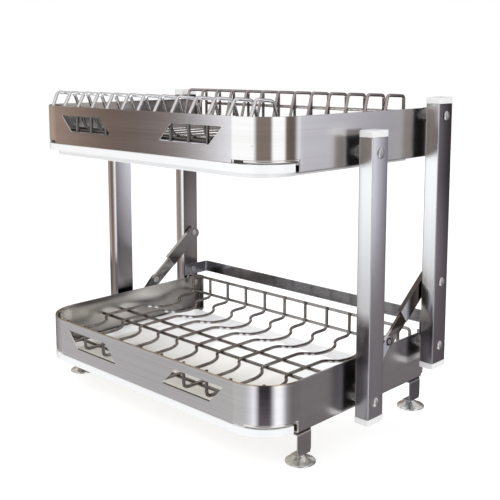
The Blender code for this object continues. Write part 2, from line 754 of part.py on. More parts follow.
def build_foot(end, side, back):
    """A bracket that hangs under the rail, and the round pad under it."""
    word = "right" if side > 0 else "left"
    outer = side * (FRAME_HALF_WIDTH - FOOT_INSET)
    inner = outer - side * FOOT_FLANGE
    top = LOWER_TIER_Z - SEAT_GAP
    low = HUB_HEIGHT + SEAT_GAP
    profile = [
        (inner, top, FOOT_STRIP),
        (outer, top, FOOT_STRIP),
        (outer, TONGUE_TOP + TONGUE_SHOULDER, FOOT_STRIP),
        (outer, TONGUE_TOP, FOOT_TONGUE),
        (outer, low, FOOT_TONGUE),
        (inner, low, FOOT_TONGUE),
    ]
    rows = [[along_z(x, back + side * k * width / 2, z) for k in (1, -1)] for x, z, width in profile]
    shape = bmesh.new()
    add_skin(shape, {}, rows)
    bracket = put(f"{end}_{word}_foot_bracket", shape, BRUSHED, outward=False)
    thicken(bracket, FOOT_SHEET)
    centre = ((inner + outer) / 2, back)
    profile = [(DISC_RADIUS, 0), (DISC_RADIUS, DISC_RIM), (HUB_RADIUS, DISC_CONE), (HUB_RADIUS, HUB_HEIGHT)]
    pad = bmesh.new()
    add_turned(pad, centre, profile, along_z, sides=2 * ROUND_SIDES)
    put(f"{end}_{word}_foot_pad", pad, POLISHED)


def build_knee_rivets(word, side, parent):
    """A rivet head on each cheek of the lower link. Between the cheeks the knee stays open."""
    inner = [
        (LINK_HEAD_RADIUS, LINK_INSIDE - SEAT_GAP - LINK_HEAD),
        (LINK_HEAD_RADIUS, LINK_INSIDE - SEAT_GAP),
        (LINK_PIN_RADIUS, LINK_INSIDE - SEAT_GAP),
        (LINK_PIN_RADIUS, LINK_INSIDE + LINK_SHEET),
    ]
    outer = [
        (LINK_PIN_RADIUS, LINK_OUTSIDE - LINK_SHEET),
        (LINK_PIN_RADIUS, LINK_OUTSIDE + SEAT_GAP),
        (LINK_HEAD_RADIUS, LINK_OUTSIDE + SEAT_GAP),
        (LINK_HEAD_RADIUS, LINK_OUTSIDE + SEAT_GAP + LINK_HEAD),
    ]
    build_pin(f"knee_rivet_inner_{word}", side, KNEE, inner, POLISHED, parent)
    build_pin(f"knee_rivet_outer_{word}", side, KNEE, outer, POLISHED, parent)


def brace_foot_profile():
    collar = FRAME_HALF_WIDTH + SEAT_GAP
    return [
        (LINK_PIN_RADIUS, PANEL_INSIDE),
        (LINK_PIN_RADIUS, collar),
        (LINK_HEAD_RADIUS, collar),
        (LINK_HEAD_RADIUS, LINK_INSIDE - SEAT_GAP),
        (LINK_PIN_RADIUS, LINK_INSIDE - SEAT_GAP),
        (LINK_PIN_RADIUS, LINK_OUTSIDE + SEAT_GAP),
        (LINK_HEAD_RADIUS, LINK_OUTSIDE + SEAT_GAP),
        (LINK_HEAD_RADIUS, LINK_OUTSIDE + SEAT_GAP + LINK_HEAD),
    ]


def brace_top_profile():
    anchor = LEG_INSIDE + LEG_WALL + SEAT_GAP
    return [
        (LINK_HEAD_RADIUS, LINK_INSIDE - SEAT_GAP - LINK_HEAD),
        (LINK_HEAD_RADIUS, LINK_INSIDE - SEAT_GAP),
        (LINK_PIN_RADIUS, LINK_INSIDE - SEAT_GAP),
        (LINK_PIN_RADIUS, LINK_OUTSIDE + SEAT_GAP),
        (LINK_HEAD_RADIUS, LINK_OUTSIDE + SEAT_GAP),
        (LINK_HEAD_RADIUS, LEG_INSIDE - SEAT_GAP),
        (LINK_PIN_RADIUS, LEG_INSIDE - SEAT_GAP),
        (LINK_PIN_RADIUS, anchor),
        (LINK_HEAD_RADIUS, anchor),
        (LINK_HEAD_RADIUS, anchor + LINK_HEAD),
    ]


def bar_rivet_profile():
    arm = LEG_INSIDE - 2 * SEAT_GAP - BAR_SHEET
    anchor = LEG_INSIDE + LEG_WALL + SEAT_GAP
    return [
        (BAR_RIVET_HEAD_RADIUS, arm - BAR_RIVET_HEAD),
        (BAR_RIVET_HEAD_RADIUS, arm),
        (BAR_RIVET_RADIUS, arm),
        (BAR_RIVET_RADIUS, anchor),
        (BAR_RIVET_HEAD_RADIUS, anchor),
        (BAR_RIVET_HEAD_RADIUS, anchor + BAR_RIVET_HEAD),
    ]


def build_lower_tier(front_pivot, rear_pivot):
    holes = [(front_pivot, PIN_HOLE_RADIUS), (rear_pivot, PIN_HOLE_RADIUS), (BRACE_FOOT, LINK_HOLE_RADIUS)]
    build_frame("lower_frame", LOWER_TIER_Z, holes)
    floor = LOWER_TIER_Z + WIRE_FLOOR
    shelf = floor + SHELF_HEIGHT
    rods = [(FRONT_ROD_BACK, floor - WELD_OFFSET, rod_reach(FRONT_ROD_BACK))]
    shelf_start = s_bend(FRONT_DIP_END, DIP_BULGE)[-1][0]
    shelf_length = FRAME_DEPTH - SHELF_END_INSET - shelf_start
    for share in SHELF_ROD_SHARES:
        rods.append((shelf_start + share * shelf_length, shelf - WELD_OFFSET, ROD_HALF_WIDTH))
    for z in (shelf + FENCE_BEND, floor + FENCE_HEIGHT):
        rods.append((FENCE_BACK + WELD_OFFSET, z, ROD_HALF_WIDTH))
    build_rack("lower_wire_basket", basket_path, floor, BASKET_WIRES, BASKET_PITCH, rods)
    build_tray("lower_drip_tray", LOWER_TIER_Z)
    for end, back in (("front", FOOT_FRONT_BACK), ("rear", FRAME_DEPTH - FOOT_REAR_INSET)):
        for side in (1, -1):
            build_foot(end, side, back)


def build_upper_tier(front_pivot, rear_pivot, parent):
    holes = [(front_pivot, PIN_HOLE_RADIUS), (rear_pivot, PIN_HOLE_RADIUS)]
    build_frame("upper_frame", UPPER_TIER_Z, holes, parent)
    floor = UPPER_TIER_Z + WIRE_FLOOR
    front = TIP_BACK + WELD_OFFSET
    rods = [(front, floor + RACK_FRONT_ROD_HEIGHT, rod_reach(front))]
    for back in (RACK_ROD_BACK, FRAME_DEPTH - RACK_ROD_INSET):
        rods.append((back, floor - WELD_OFFSET, ROD_HALF_WIDTH))
    rear_reach = FRAME_HALF_WIDTH - RACK_SIDE_GAP + REAR_ROD_OVERHANG
    rods.append((REAR_LOOP_END + WELD_OFFSET, floor + REAR_ROD_HEIGHT, rear_reach))
    build_rack("upper_plate_rack", rack_path, floor, RACK_WIRES, RACK_PITCH, rods, parent)
    build_tray("upper_drip_tray", UPPER_TIER_Z, parent)


def main():
    clear_scene()
    front_low = (FRONT_PIVOT_BACK, FRONT_PIVOT_Z)
    rear_low = (REAR_PIVOT_BACK, REAR_PIVOT_Z)
    front_high = (FRONT_PIVOT_BACK, FRONT_PIVOT_Z + SWING_LENGTH)
    rear_high = (REAR_PIVOT_BACK, REAR_PIVOT_Z + SWING_LENGTH)
    rear_axis = joint_axis("rear_leg_axis", 0, rear_low)
    tier_axis = joint_axis("upper_tier_axis", 0, rear_high, rear_axis)

    build_lower_tier(front_low, rear_low)
    build_upper_tier(front_high, rear_high, tier_axis)
    build_cross_bar("rear_cross_bar", rear_axis)

    rear_holes = [
        (BRACE_TOP, LINK_HOLE_RADIUS),
        (bar_rivet_spot(), BAR_RIVET_RADIUS + PIN_CLEARANCE),
    ]
    for word, side in (("left", -1), ("right", 1)):
        front_axis = joint_axis(f"front_leg_axis_{word}", side * LEG_INSIDE, front_low)
        foot_axis = joint_axis(f"lower_link_axis_{word}", side * LINK_INSIDE, BRACE_FOOT)
        top_axis = joint_axis(f"upper_link_axis_{word}", side * LINK_INSIDE, BRACE_TOP, rear_axis)
        build_leg(
            f"front_{word}_leg", side, FRONT_PIVOT_BACK, FRONT_PIVOT_Z - FRONT_LEG_TAIL,
            (front_low[1], front_high[1]), (), front_axis,
        )
        build_leg(
            f"rear_{word}_leg", side, REAR_PIVOT_BACK, REAR_PIVOT_Z - REAR_LEG_TAIL,
            (rear_low[1], rear_high[1]), rear_holes, rear_axis,
        )
        build_pin(f"front_{word}_lower_pivot", side, front_low, pivot_profile(), POLISHED)
        build_pin(f"rear_{word}_lower_pivot", side, rear_low, pivot_profile(), POLISHED)
        build_pin(f"front_{word}_upper_pivot", side, front_high, pivot_profile(), POLISHED, tier_axis)
        build_pin(f"rear_{word}_upper_pivot", side, rear_high, pivot_profile(), POLISHED, tier_axis)
        build_pin(f"cross_bar_rivet_{word}", side, bar_rivet_spot(), bar_rivet_profile(), POLISHED, rear_axis)
        build_pin(f"brace_top_pin_{word}", side, BRACE_TOP, brace_top_profile(), POLISHED, rear_axis)
        build_pin(f"brace_foot_pin_{word}", side, BRACE_FOOT, brace_foot_profile(), POLISHED)
        build_lower_link(f"brace_lower_link_{word}", side, foot_axis)
        build_upper_link(f"brace_upper_link_{word}", side, top_axis)
        build_knee_rivets(word, side, foot_axis)


main()
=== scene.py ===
import json
import math

import bmesh
import bpy
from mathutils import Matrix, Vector


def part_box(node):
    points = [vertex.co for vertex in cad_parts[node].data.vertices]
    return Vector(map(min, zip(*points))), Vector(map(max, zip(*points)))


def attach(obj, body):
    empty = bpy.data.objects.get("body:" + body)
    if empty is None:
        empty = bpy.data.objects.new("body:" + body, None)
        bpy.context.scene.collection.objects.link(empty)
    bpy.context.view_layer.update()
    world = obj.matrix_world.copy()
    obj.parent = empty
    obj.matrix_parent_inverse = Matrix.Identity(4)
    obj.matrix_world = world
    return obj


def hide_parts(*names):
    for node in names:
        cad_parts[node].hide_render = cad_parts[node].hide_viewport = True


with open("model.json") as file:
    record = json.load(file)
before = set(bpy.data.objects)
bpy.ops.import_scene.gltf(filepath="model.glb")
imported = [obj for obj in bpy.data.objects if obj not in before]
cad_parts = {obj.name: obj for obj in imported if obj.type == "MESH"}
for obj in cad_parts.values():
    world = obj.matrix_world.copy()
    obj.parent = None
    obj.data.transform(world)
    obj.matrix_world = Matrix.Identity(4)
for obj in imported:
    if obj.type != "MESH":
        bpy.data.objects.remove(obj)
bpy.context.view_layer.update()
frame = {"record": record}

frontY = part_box("lower_frame")[0].y
bodyOf = {node: body for body, nodes in frame["record"]["behaviour"]["bodies"].items() for node in nodes}
tiny = 0.00005
seatGap = 0.0003  # air round a pin, and between a wire and its panel
softEdge = 0.0003  # how far small edges are eased
overrun = 0.004  # how far a cutting tool reaches past what it cuts
sides = (("left", -1), ("right", 1))
linkInside, linkOutside = (corner.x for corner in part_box("brace_upper_link_right"))
legInside, legOutside = (corner.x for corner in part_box("front_right_leg"))
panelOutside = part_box("lower_frame")[1].x
tiers = (("lower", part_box("lower_frame")[0].z), ("upper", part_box("upper_frame")[0].z))


def at(x, back, z):  # back is counted from the outer face of the front band
    return Vector((x, frontY + back, z))


def letGo():
    if bpy.context.mode != "OBJECT":
        bpy.ops.object.mode_set(mode="OBJECT")
    bpy.ops.object.select_all(action="DESELECT")


def take(*pieces):
    letGo()
    for piece in pieces:
        piece.select_set(True)
    bpy.context.view_layer.objects.active = pieces[0]


def edit(piece):
    take(piece)
    bpy.ops.object.mode_set(mode="EDIT")


def pick(kind, test):  # selects the vertices or edges that pass a test on their corners
    bpy.ops.mesh.select_mode(type=kind)
    bpy.ops.mesh.select_all(action="DESELECT")
    shape = bmesh.from_edit_mesh(bpy.context.edit_object.data)
    for part in shape.verts if kind == "VERT" else shape.edges:
        corners = [part] if kind == "VERT" else part.verts
        part.select_set(all(test(corner.co.x, corner.co.y - frontY, corner.co.z) for corner in corners))
    bmesh.update_edit_mesh(bpy.context.edit_object.data)


def pickAll():
    bpy.ops.mesh.select_all(action="SELECT")


def roundOff(reach, segments, kind):  # bevels what is picked
    bpy.ops.mesh.bevel(offset=reach, segments=segments, affect=kind)


def pull(x, y, z):
    bpy.ops.mesh.extrude_region_move(TRANSFORM_OT_translate={"value": (x, y, z)})


def near(a, b):
    return abs(a - b) < tiny


def block(name, low, high):
    letGo()
    bpy.ops.mesh.primitive_cube_add(size=1, location=(Vector(low) + Vector(high)) / 2)
    piece = bpy.context.object
    piece.name = name
    piece.scale = Vector(high) - Vector(low)
    bpy.ops.object.transform_apply(location=True, rotation=True, scale=True)
    return piece


def chain(name, points, closed=False):  # a line of vertices, left open for editing
    letGo()
    bpy.ops.mesh.primitive_plane_add(size=0.01, location=points[0])
    piece = bpy.context.object
    piece.name = name
    bpy.ops.object.transform_apply(location=True)
    bpy.ops.object.mode_set(mode="EDIT")
    bpy.ops.mesh.select_mode(type="VERT")
    bpy.ops.mesh.merge(type="CENTER")
    for before, after in zip(points, points[1:]):
        pull(*(Vector(after) - Vector(before)))
    if closed:
        ends = [Vector(points[0]), Vector(points[-1])]
        pick("VERT", lambda x, back, z: any((at(x, back, z) - end).length < tiny for end in ends))
        bpy.ops.mesh.edge_face_add()
    return piece


def plate(name, points, corner=0):  # a closed outline, filled, with round corners where a radius is given
    piece = chain(name, points, closed=True)
    pickAll()
    if corner:
        roundOff(corner, 4, "VERTICES")
        pickAll()
    bpy.ops.mesh.edge_face_add()
    return piece


def prism(name, points, reach, corner=0):  # an outline, filled and pulled out straight
    piece = plate(name, points, corner)
    pickAll()
    pull(*reach)
    tidyNormals()
    letGo()
    return piece


def arc(x, back, radius, start, end, steps):  # points of an arc seen from above, in degrees from straight right
    turns = [math.radians(start + (end - start) * step / steps) for step in range(steps + 1)]
    return [(x + radius * math.cos(turn), back + radius * math.sin(turn)) for turn in turns]


def tidyNormals():
    pickAll()
    bpy.ops.mesh.remove_doubles(threshold=0.00001)
    bpy.ops.mesh.normals_make_consistent(inside=False)


def faceTowards(piece, way):  # turns a skin over where its widest face that way looks the other way
    widest = max(piece.data.polygons, key=lambda face: face.area * abs(face.normal.dot(Vector(way))))
    if widest.normal.dot(Vector(way)) < 0:
        edit(piece)
        pickAll()
        bpy.ops.mesh.flip_normals()
        letGo()


def modify(piece, kind, **settings):
    take(piece)
    step = piece.modifiers.new(kind.lower(), kind)
    for key, value in settings.items():
        setattr(step, key, value)
    bpy.ops.object.modifier_apply(modifier=step.name)


def carve(piece, tool, operation="DIFFERENCE"):
    modify(piece, "BOOLEAN", operation=operation, object=tool, solver="EXACT")
    bpy.data.objects.remove(tool)


def ease(piece, width, segments=2, angle=40):  # eased edges and flat faces that shade flat
    modify(piece, "BEVEL", width=width, segments=segments, limit_method="ANGLE",
           angle_limit=math.radians(angle), use_clamp_overlap=True)
    smooth(piece)
    modify(piece, "WEIGHTED_NORMAL", keep_sharp=True, weight=70)


def smooth(piece, angle=35):
    take(piece)
    bpy.ops.object.shade_smooth_by_angle(angle=math.radians(angle))


def copyOf(piece, name, x=0):
    take(piece)
    bpy.ops.object.duplicate(linked=False)
    made = bpy.context.object
    made.name = name
    made.location.x = x
    bpy.ops.object.transform_apply(location=True)
    return made


def mirrored(piece, name):  # the other hand of a piece, across the middle of the rack
    made = copyOf(piece, name)
    made.scale = (-1, 1, 1)
    bpy.ops.object.transform_apply(scale=True)
    bpy.ops.object.mode_set(mode="EDIT")
    tidyNormals()
    bpy.ops.object.mode_set(mode="OBJECT")
    return made


def joined(name, pieces):
    take(*pieces)
    bpy.ops.object.join()
    made = bpy.context.object
    made.name = name
    return made


def softened(points, reach, steps=6):  # the same line with each corner turned into a smooth bend
    made = [Vector(points[0])]
    for before, corner, after in zip(points, points[1:], points[2:]):
        before, corner, after = Vector(before), Vector(corner), Vector(after)
        back = min(reach, (before - corner).length / 2)
        ahead = min(reach, (after - corner).length / 2)
        start = corner + (before - corner).normalized() * back
        end = corner + (after - corner).normalized() * ahead
        for step in range(steps + 1):
            t = step / steps
            spot = start * (1 - t) ** 2 + corner * 2 * t * (1 - t) + end * t ** 2
            if (spot - made[-1]).length > tiny:
                made.append(spot)
    made.append(Vector(points[-1]))
    return made


def tube(name, points, radius, rounds=4):
    piece = chain(name, points)
    take(piece)
    bpy.ops.object.convert(target="CURVE")
    piece = bpy.context.object
    piece.data.bevel_depth = radius
    piece.data.bevel_resolution = rounds
    piece.data.use_fill_caps = True
    bpy.ops.object.convert(target="MESH")
    piece = bpy.context.object
    edit(piece)
    tidyNormals()
    smooth(piece, 50)
    return piece


def turned(name, points, centre, axis, steps=32):
    piece = chain(name, points)
    pickAll()
    bpy.ops.mesh.spin(steps=steps, angle=2 * math.pi, center=centre, axis=axis)
    tidyNormals()
    smooth(piece)
    return piece


def dress(piece, body, finish):
    piece.data.materials.clear()
    piece.data.materials.append(finish)
    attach(piece, body)
    letGo()


def settle(piece, node, finish):  # for a piece that stands for a node of the frame
    dress(piece, bodyOf[node], finish)
    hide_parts(node)


class Amount:
    # one number socket, so that sums can be written out
    def __init__(self, finish, socket):
        self.finish = finish
        self.socket = socket

    def maths(self, operation, first, second):
        return self.finish.node("ShaderNodeMath", {"operation": operation}, {0: first, 1: second})

    def __add__(self, other):
        return self.maths("ADD", self, other)

    def __radd__(self, other):
        return self.maths("ADD", other, self)

    def __sub__(self, other):
        return self.maths("SUBTRACT", self, other)

    def __rsub__(self, other):
        return self.maths("SUBTRACT", other, self)

    def __mul__(self, other):
        return self.maths("MULTIPLY", self, other)

    def __rmul__(self, other):
        return self.maths("MULTIPLY", other, self)

    def __truediv__(self, other):
        return self.maths("DIVIDE", self, other)


class Finish:
    def __init__(self, name, tree=None):
        if tree is None:
            self.material = bpy.data.materials.new(name)
            self.material.use_nodes = True
            tree = self.material.node_tree
        self.tree = tree

    def node(self, kind, settings, inputs, output=0):
        made = self.tree.nodes.new(kind)
        for key, value in settings.items():
            if key == "stops":
                elements = made.color_ramp.elements
                while len(elements) < len(value):
                    elements.new(0.5)
                for element, (place, colour) in zip(elements, value):
                    element.position = place
                    element.color = (*colour, 1)
            else:
                setattr(made, key, value)
        for key, value in inputs.items():
            self.feed(made.inputs[key], value)
        return Amount(self, made.outputs[output])

    def feed(self, socket, value):
        if isinstance(value, Amount):
            self.tree.links.new(value.socket, socket)
        else:
            socket.default_value = value

    def grain(self, scale, detail=3.0, roughness=0.55):  # noise stretched along the axes of the piece
        place = self.node("ShaderNodeTexCoord", {}, {}, "Object")
        stretched = self.node("ShaderNodeMapping", {}, {"Vector": place, "Scale": scale})
        return self.node("ShaderNodeTexNoise", {}, {
            "Vector": stretched, "Scale": 1.0, "Detail": detail, "Roughness": roughness}, "Fac")

    def ramp(self, amount, low, high):  # 0 to 1 as amount goes from low to high
        return self.node("ShaderNodeMapRange", {}, {
            "Value": amount, "From Min": low, "From Max": high, "To Min": 0.0, "To Max": 1.0})

    def surface(self, **inputs):  # sets the Principled shader, by socket name with spaces left out
        shader = self.tree.nodes["Principled BSDF"]
        for key, value in inputs.items():
            name = "".join(" " + c if c.isupper() and i else c for i, c in enumerate(key))
            self.feed(shader.inputs[name], value)
        return self.material

    def along(self, axis):  # how far along one axis of the piece
        place = self.node("ShaderNodeTexCoord", {}, {}, "Object")
        parts = self.node("ShaderNodeSeparateXYZ", {}, {"Vector": place})
        return Amount(self, parts.socket.node.outputs[axis])

    def size(self, amount):
        return self.node("ShaderNodeMath", {"operation": "ABSOLUTE"}, {0: amount})

    def above(self, amount, least):
        return self.node("ShaderNodeMath", {"operation": "MAXIMUM"}, {0: amount, 1: least})

    def span(self, across, ahead):  # the straight distance of two lengths at right angles
        return self.node("ShaderNodeMath", {"operation": "SQRT"}, {0: across * across + ahead * ahead})

    def band(self, amount, low, high, blur):  # 1 between low and high, with soft ends
        return self.ramp(amount, low, low + blur) * self.ramp(amount, high, high - blur)

    def mix(self, amount, first, second):  # a colour from first to second
        first, second = ((*shade, 1) if isinstance(shade, tuple) else shade for shade in (first, second))
        return self.node("ShaderNodeMix", {"data_type": "RGBA"}, {0: amount, 6: first, 7: second}, 2)

    def bump(self, height, strength, distance):
        return self.node("ShaderNodeBump", {}, {"Height": height, "Strength": strength, "Distance": distance})


def srgb(*colour):  # screen values 0 to 255 to light values
    return tuple((c / 255 / 12.92) if c < 11 else ((c / 255 + 0.055) / 1.055) ** 2.4 for c in colour)


frameSizes = {
    "cornerRadius": 0.0495, "cornerSteps": 24, "bandDrop": 0.011, "sheet": 0.0012,
    "railWidth": 0.0113, "railLip": 0.0075, "railEnd": 0.284,
    "returnWidth": 0.0097, "returnRise": 0.004, "bend": 0.0016, "edge": 0.00035,
    "windowInner": 0.0439, "windowWidth": 0.0793, "windowHeight": 0.0203, "windowSlant": 0.0207,
    "windowTopMargin": 0.0113, "windowCorner": 0.002,
    "raisedStart": 0.1575, "raisedShort": 0.0004, "notchShadeAngle": -87, "notchShadeLap": 3,
    "notchShadeOut": 0.0006, "stopIn": 0.0040, "notchShadeHeight": 0.0048, "notchShadeDrop": 0.0002,
    "beadAngle": -73, "beadRise": 0.0036, "bead": 0.0022, "beadIn": 0.0003, "beadEnd": 0.0470,
    "hem": 0.0008, "hookRise": 0.004, "hookLip": 0.005, "hookBend": 0.0035, "topHem": 0.0009, "hemEnd": 0.003,
}

steelLooks = {  # pairs of heights say where a shade starts and where it is full
    "tint": (0.80, 0.79, 0.79), "tintLow": (0.72, 0.71, 0.70), "roughness": 0.055, "spread": 0.07,
    "insideShade": (0.66, 0.63, 0.58), "insideShadeLow": (0.22, 0.205, 0.20),
    "insideRoughness": 0.15, "sideRoughness": 0.13,
    "topTint": (0.60, 0.49, 0.37), "sillShade": (0.13, 0.095, 0.07), "lowerTier": (0.13, 0.12),
    "windowShade": (0.20, 0.19, 0.185), "deepFrom": (0.30, 0.31), "deepTo": (0.364, 0.358),
    "blots": (  # painted reflections: distance back, height, half length, half height and shade
        (0.095, 0.094, 0.055, 0.006, (0.16, 0.15, 0.15)),
        (0.200, 0.087, 0.050, 0.010, (0.88, 0.86, 0.80)),
        (0.250, 0.099, 0.035, 0.004, (0.20, 0.19, 0.18)),
    ),
}


def brushedSteel():  # fine lines that run level round each tier
    finish = Finish("brushedSteel")
    size, look = frameSizes, steelLooks
    lines = finish.grain((4, 4, 1400), 4.0)
    bands = finish.grain((2.5, 2.5, 160), 2.0)
    smears = finish.grain((9, 9, 14), 2.0)
    radius = size["cornerRadius"]
    height = finish.along("Z")
    back = finish.along("Y") - frontY
    outward = finish.size(finish.along("X"))
    reach = finish.span(finish.above(outward - (panelOutside - radius), 0), finish.above(radius - back, 0))
    inside = finish.ramp(reach, radius - 0.0005, radius - 0.0009)
    side = finish.ramp(back, radius - 0.006, radius + 0.004)
    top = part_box("lower_frame")[1].z
    # painted reflection: a tan line along the lower tier's top edge
    rim = finish.ramp(height, top - 0.0014, top - 0.0010) * finish.ramp(height, *look["lowerTier"]) * (1 - side)
    sill = top - size["windowTopMargin"] - size["windowHeight"]  # painted shade: a dark line along the lower windows' lower edge
    sillShadeLine = finish.ramp(height, sill - 0.0011, sill - 0.0009) * (1 - side)
    sillShadeLine = sillShadeLine * finish.ramp(height, sill + 0.0003, sill + 0.0002)
    sillShadeLine = sillShadeLine * finish.band(outward - size["windowInner"], 0.001, size["windowWidth"], 0.001)
    outer = finish.mix(finish.ramp(lines * 0.6 + bands * 0.4, 0.35, 0.65), look["tintLow"], look["tint"])
    # painted shade: the inner faces are darker than the outer, in smeared patches
    inner = finish.mix(finish.ramp(smears, 0.38, 0.66), look["insideShadeLow"], look["insideShade"])
    for away, rise, long, tall, tint in look["blots"]:  # painted reflections of the wires and the tray on the inner sides
        far = finish.span((back - away) / long, (height - rise) / tall)
        inner = finish.mix(finish.ramp(far, 1.25, 0.55), inner, tint)
    windowShadeMask = finish.ramp(height, *look["deepTo"]) * finish.ramp(height, *look["deepFrom"])
    inner = finish.mix(windowShadeMask, inner, look["windowShade"])  # painted shade on the inner faces where they show through the upper windows
    colour = finish.mix(rim, finish.mix(inside, outer, inner), look["topTint"])
    rough = look["roughness"] + smears * 0.03 + inside * look["insideRoughness"] + side * look["sideRoughness"]
    return finish.surface(
        BaseColor=finish.mix(sillShadeLine, colour, look["sillShade"]),
        Metallic=1.0,
        Roughness=rough + lines * (1 - inside) * look["spread"],
        Normal=finish.bump(lines * (1 - inside * 0.7), 0.10, 0.0002),
    )


legLooks = {  # pairs say where a painted shade starts and where it is full; the legs' colours hold painted shade and painted reflections
    "front": ((0.76, 0.76, 0.77), (0.87, 0.88, 0.90)), "frontLow": (0.21, 0.20, 0.215), "lowBlur": 0.020,
    "frontFoot": (0.44, 0.43, 0.45), "footHeights": (0.100, 0.085),
    "tan": (0.47, 0.39, 0.335), "tanFrom": (-0.0046, -0.0034), "tanTo": (0.0040, 0.0010),
    "besidePanelShadow": (0.022, 0.020, 0.022), "lowerPanel": (0.112, 0.098), "upperPanel": (0.300, 0.314),
    "rise": (0.19, 0.29),
}


def legSteel(name, outside, inside, foot):  # outside and inside are (painted shade low on the leg, painted shade high on it); foot is where the front face's painted dark reflection begins
    finish = Finish(name)
    look = legLooks
    lines = finish.grain((900, 900, 5), 3.0)
    smears = finish.grain((12, 12, 9), 2.0)
    middle, reach = (legInside + legOutside) / 2, (legOutside - legInside) / 2
    edge = (reach - 0.0012, reach - 0.0004)
    fromMiddle = finish.size(finish.along("X")) - middle
    height = finish.along("Z")
    rise = finish.ramp(height, *look["rise"])
    front = finish.mix(lines, *look["front"])
    # painted dark reflection low on the front face, darker still near the floor
    front = finish.mix(finish.ramp(height, foot + look["lowBlur"], foot), front, look["frontLow"])
    front = finish.mix(finish.ramp(height, *look["footHeights"]), front, look["frontFoot"])
    tan = finish.ramp(fromMiddle, *look["tanFrom"]) * finish.ramp(fromMiddle, *look["tanTo"])
    front = finish.mix(finish.ramp(finish.along("X"), 0, -0.01) * tan, front, look["tan"])  # painted tan reflection, on the left legs only
    # painted shadow on the inner faces beside the panels
    panelShadowMask = finish.ramp(height, *look["lowerPanel"]) + finish.ramp(height, *look["upperPanel"])
    inner = finish.mix(panelShadowMask, finish.mix(rise, *inside), look["besidePanelShadow"])
    # the outer and inner side faces take painted shade that changes with height
    colour = finish.mix(finish.ramp(fromMiddle, *edge), front, finish.mix(rise, *outside))
    return finish.surface(
        BaseColor=finish.mix(finish.ramp(0 - fromMiddle, *edge), colour, inner),
        Metallic=1.0,
        Roughness=0.15 + lines * 0.05 + smears * 0.04,
        Normal=finish.bump(lines, 0.04, 0.0002),
    )


# painted glints on the basket wires
wireLooks = {
    "glint": (0.86, 0.87, 0.90), "glintStarts": (0.1660, 0.1785), "glintLength": 0.0085, "glintBlur": 0.002,
}


def wireSteel(name, low, high, edge, sunk=None, fence=None):  # polished wire with painted dark edges where it turns from view
    finish = Finish(name)
    look = wireLooks
    cloud = finish.grain((60, 60, 60), 3.0)
    drawn = finish.grain((400, 400, 400), 2.0)
    facing = finish.node("ShaderNodeLayerWeight", {}, {"Blend": 0.5}, "Facing")
    back = finish.along("Y") - frontY
    colour = finish.mix(finish.ramp(cloud, 0.3, 0.7), low, high)
    if sunk:  # (painted shade below the panels' edge, painted shade far back)
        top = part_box("upper_frame")[1].z
        colour = finish.mix(finish.ramp(finish.along("Z"), top + 0.001, top - 0.006), colour, sunk[0])
        colour = finish.mix(finish.ramp(back, 0.10, 0.26), colour, sunk[1])
    if fence:  # painted light on the fence, and painted glints on each wire over the tray
        colour = finish.mix(finish.ramp(back, 0.252, 0.256), colour, fence)
        for start in look["glintStarts"]:
            glint = finish.band(back, start, start + look["glintLength"], look["glintBlur"])
            colour = finish.mix(glint, colour, look["glint"])
    return finish.surface(
        BaseColor=finish.mix(finish.ramp(facing, 0.30, 0.85), colour, edge),
        Metallic=1.0,
        Roughness=0.06 + cloud * 0.08,
        Normal=finish.bump(drawn, 0.06, 0.0002),
    )


linkLooks = {
    "plain": ((0.50, 0.48, 0.455), (0.62, 0.60, 0.58)), "inner": (0.25, 0.235, 0.22),
    "cheek": ((0.42, 0.42, 0.48), (0.16, 0.135, 0.11)), "rear": (0.236, 0.246),
    "web": (0.11, 0.09, 0.075), "webHeights": (0.114, 0.117),
}


def linkSteel():  # dull links, with a painted reflection on the outer cheek that turns brown towards the rear
    finish = Finish("linkSteel")
    look = linkLooks
    lines = finish.grain((300, 300, 300), 3.0)
    cloud = finish.grain((45, 45, 45), 2.0)
    outward = finish.size(finish.along("X"))
    outer = finish.ramp(outward, linkOutside - 0.0004, linkOutside - 0.0001)
    inner = finish.ramp(outward, linkInside + 0.0005, linkInside + 0.0002)
    rear = finish.ramp(finish.along("Y") - frontY, *look["rear"])
    web = finish.ramp(finish.along("X"), 0, 0.01) * finish.ramp(finish.along("Z"), *look["webHeights"])
    web = web * finish.ramp(outward, linkInside, linkInside + 0.0002) * (1 - outer)  # painted shade on the right brace's front edge
    # painted shade on the links' inner faces
    plain = finish.mix(inner, finish.mix(cloud, *look["plain"]), look["inner"])
    colour = finish.mix(outer, plain, finish.mix(rear, *look["cheek"]))
    return finish.surface(
        BaseColor=finish.mix(web, colour, look["web"]),
        Metallic=1 - outer * (1 - rear) * 0.75,
        Roughness=0.12 + lines * 0.10,
        Normal=finish.bump(lines, 0.10, 0.0002),
    )


def barSteel():  # dull strip, given a dark colour as painted shade
    finish = Finish("barSteel")
    lines = finish.grain((5, 5, 900), 3.0)
    return finish.surface(
        BaseColor=finish.mix(lines, (0.32, 0.32, 0.345), (0.44, 0.44, 0.47)),
        Metallic=1.0,
        Roughness=0.14 + lines * 0.10,
        Normal=finish.bump(lines, 0.06, 0.0002),
    )


# near-black fill for gaps where there is only shade: painted shade
def shadowBlack():
    finish = Finish("shadowBlack")
    skin = finish.grain((500, 500, 500), 2.0)
    return finish.surface(
        BaseColor=finish.mix(skin, (0.012, 0.010, 0.009), (0.035, 0.030, 0.026)),
        Roughness=0.45 + skin * 0.2,
        Normal=finish.bump(skin, 0.1, 0.0002),
    )


def padChrome():  # turned pad with uneven polish
    finish = Finish("padChrome")
    mottle = finish.grain((120, 120, 120), 4.0)
    spots = finish.ramp(finish.grain((260, 260, 260), 2.0), 0.45, 0.6)
    return finish.surface(
        BaseColor=finish.mix(spots, (0.74, 0.75, 0.74), (0.92, 0.93, 0.92)),
        Metallic=1.0,
        Roughness=0.18 + mottle * 0.16,
        Normal=finish.bump(mottle, 0.35, 0.0006),
    )


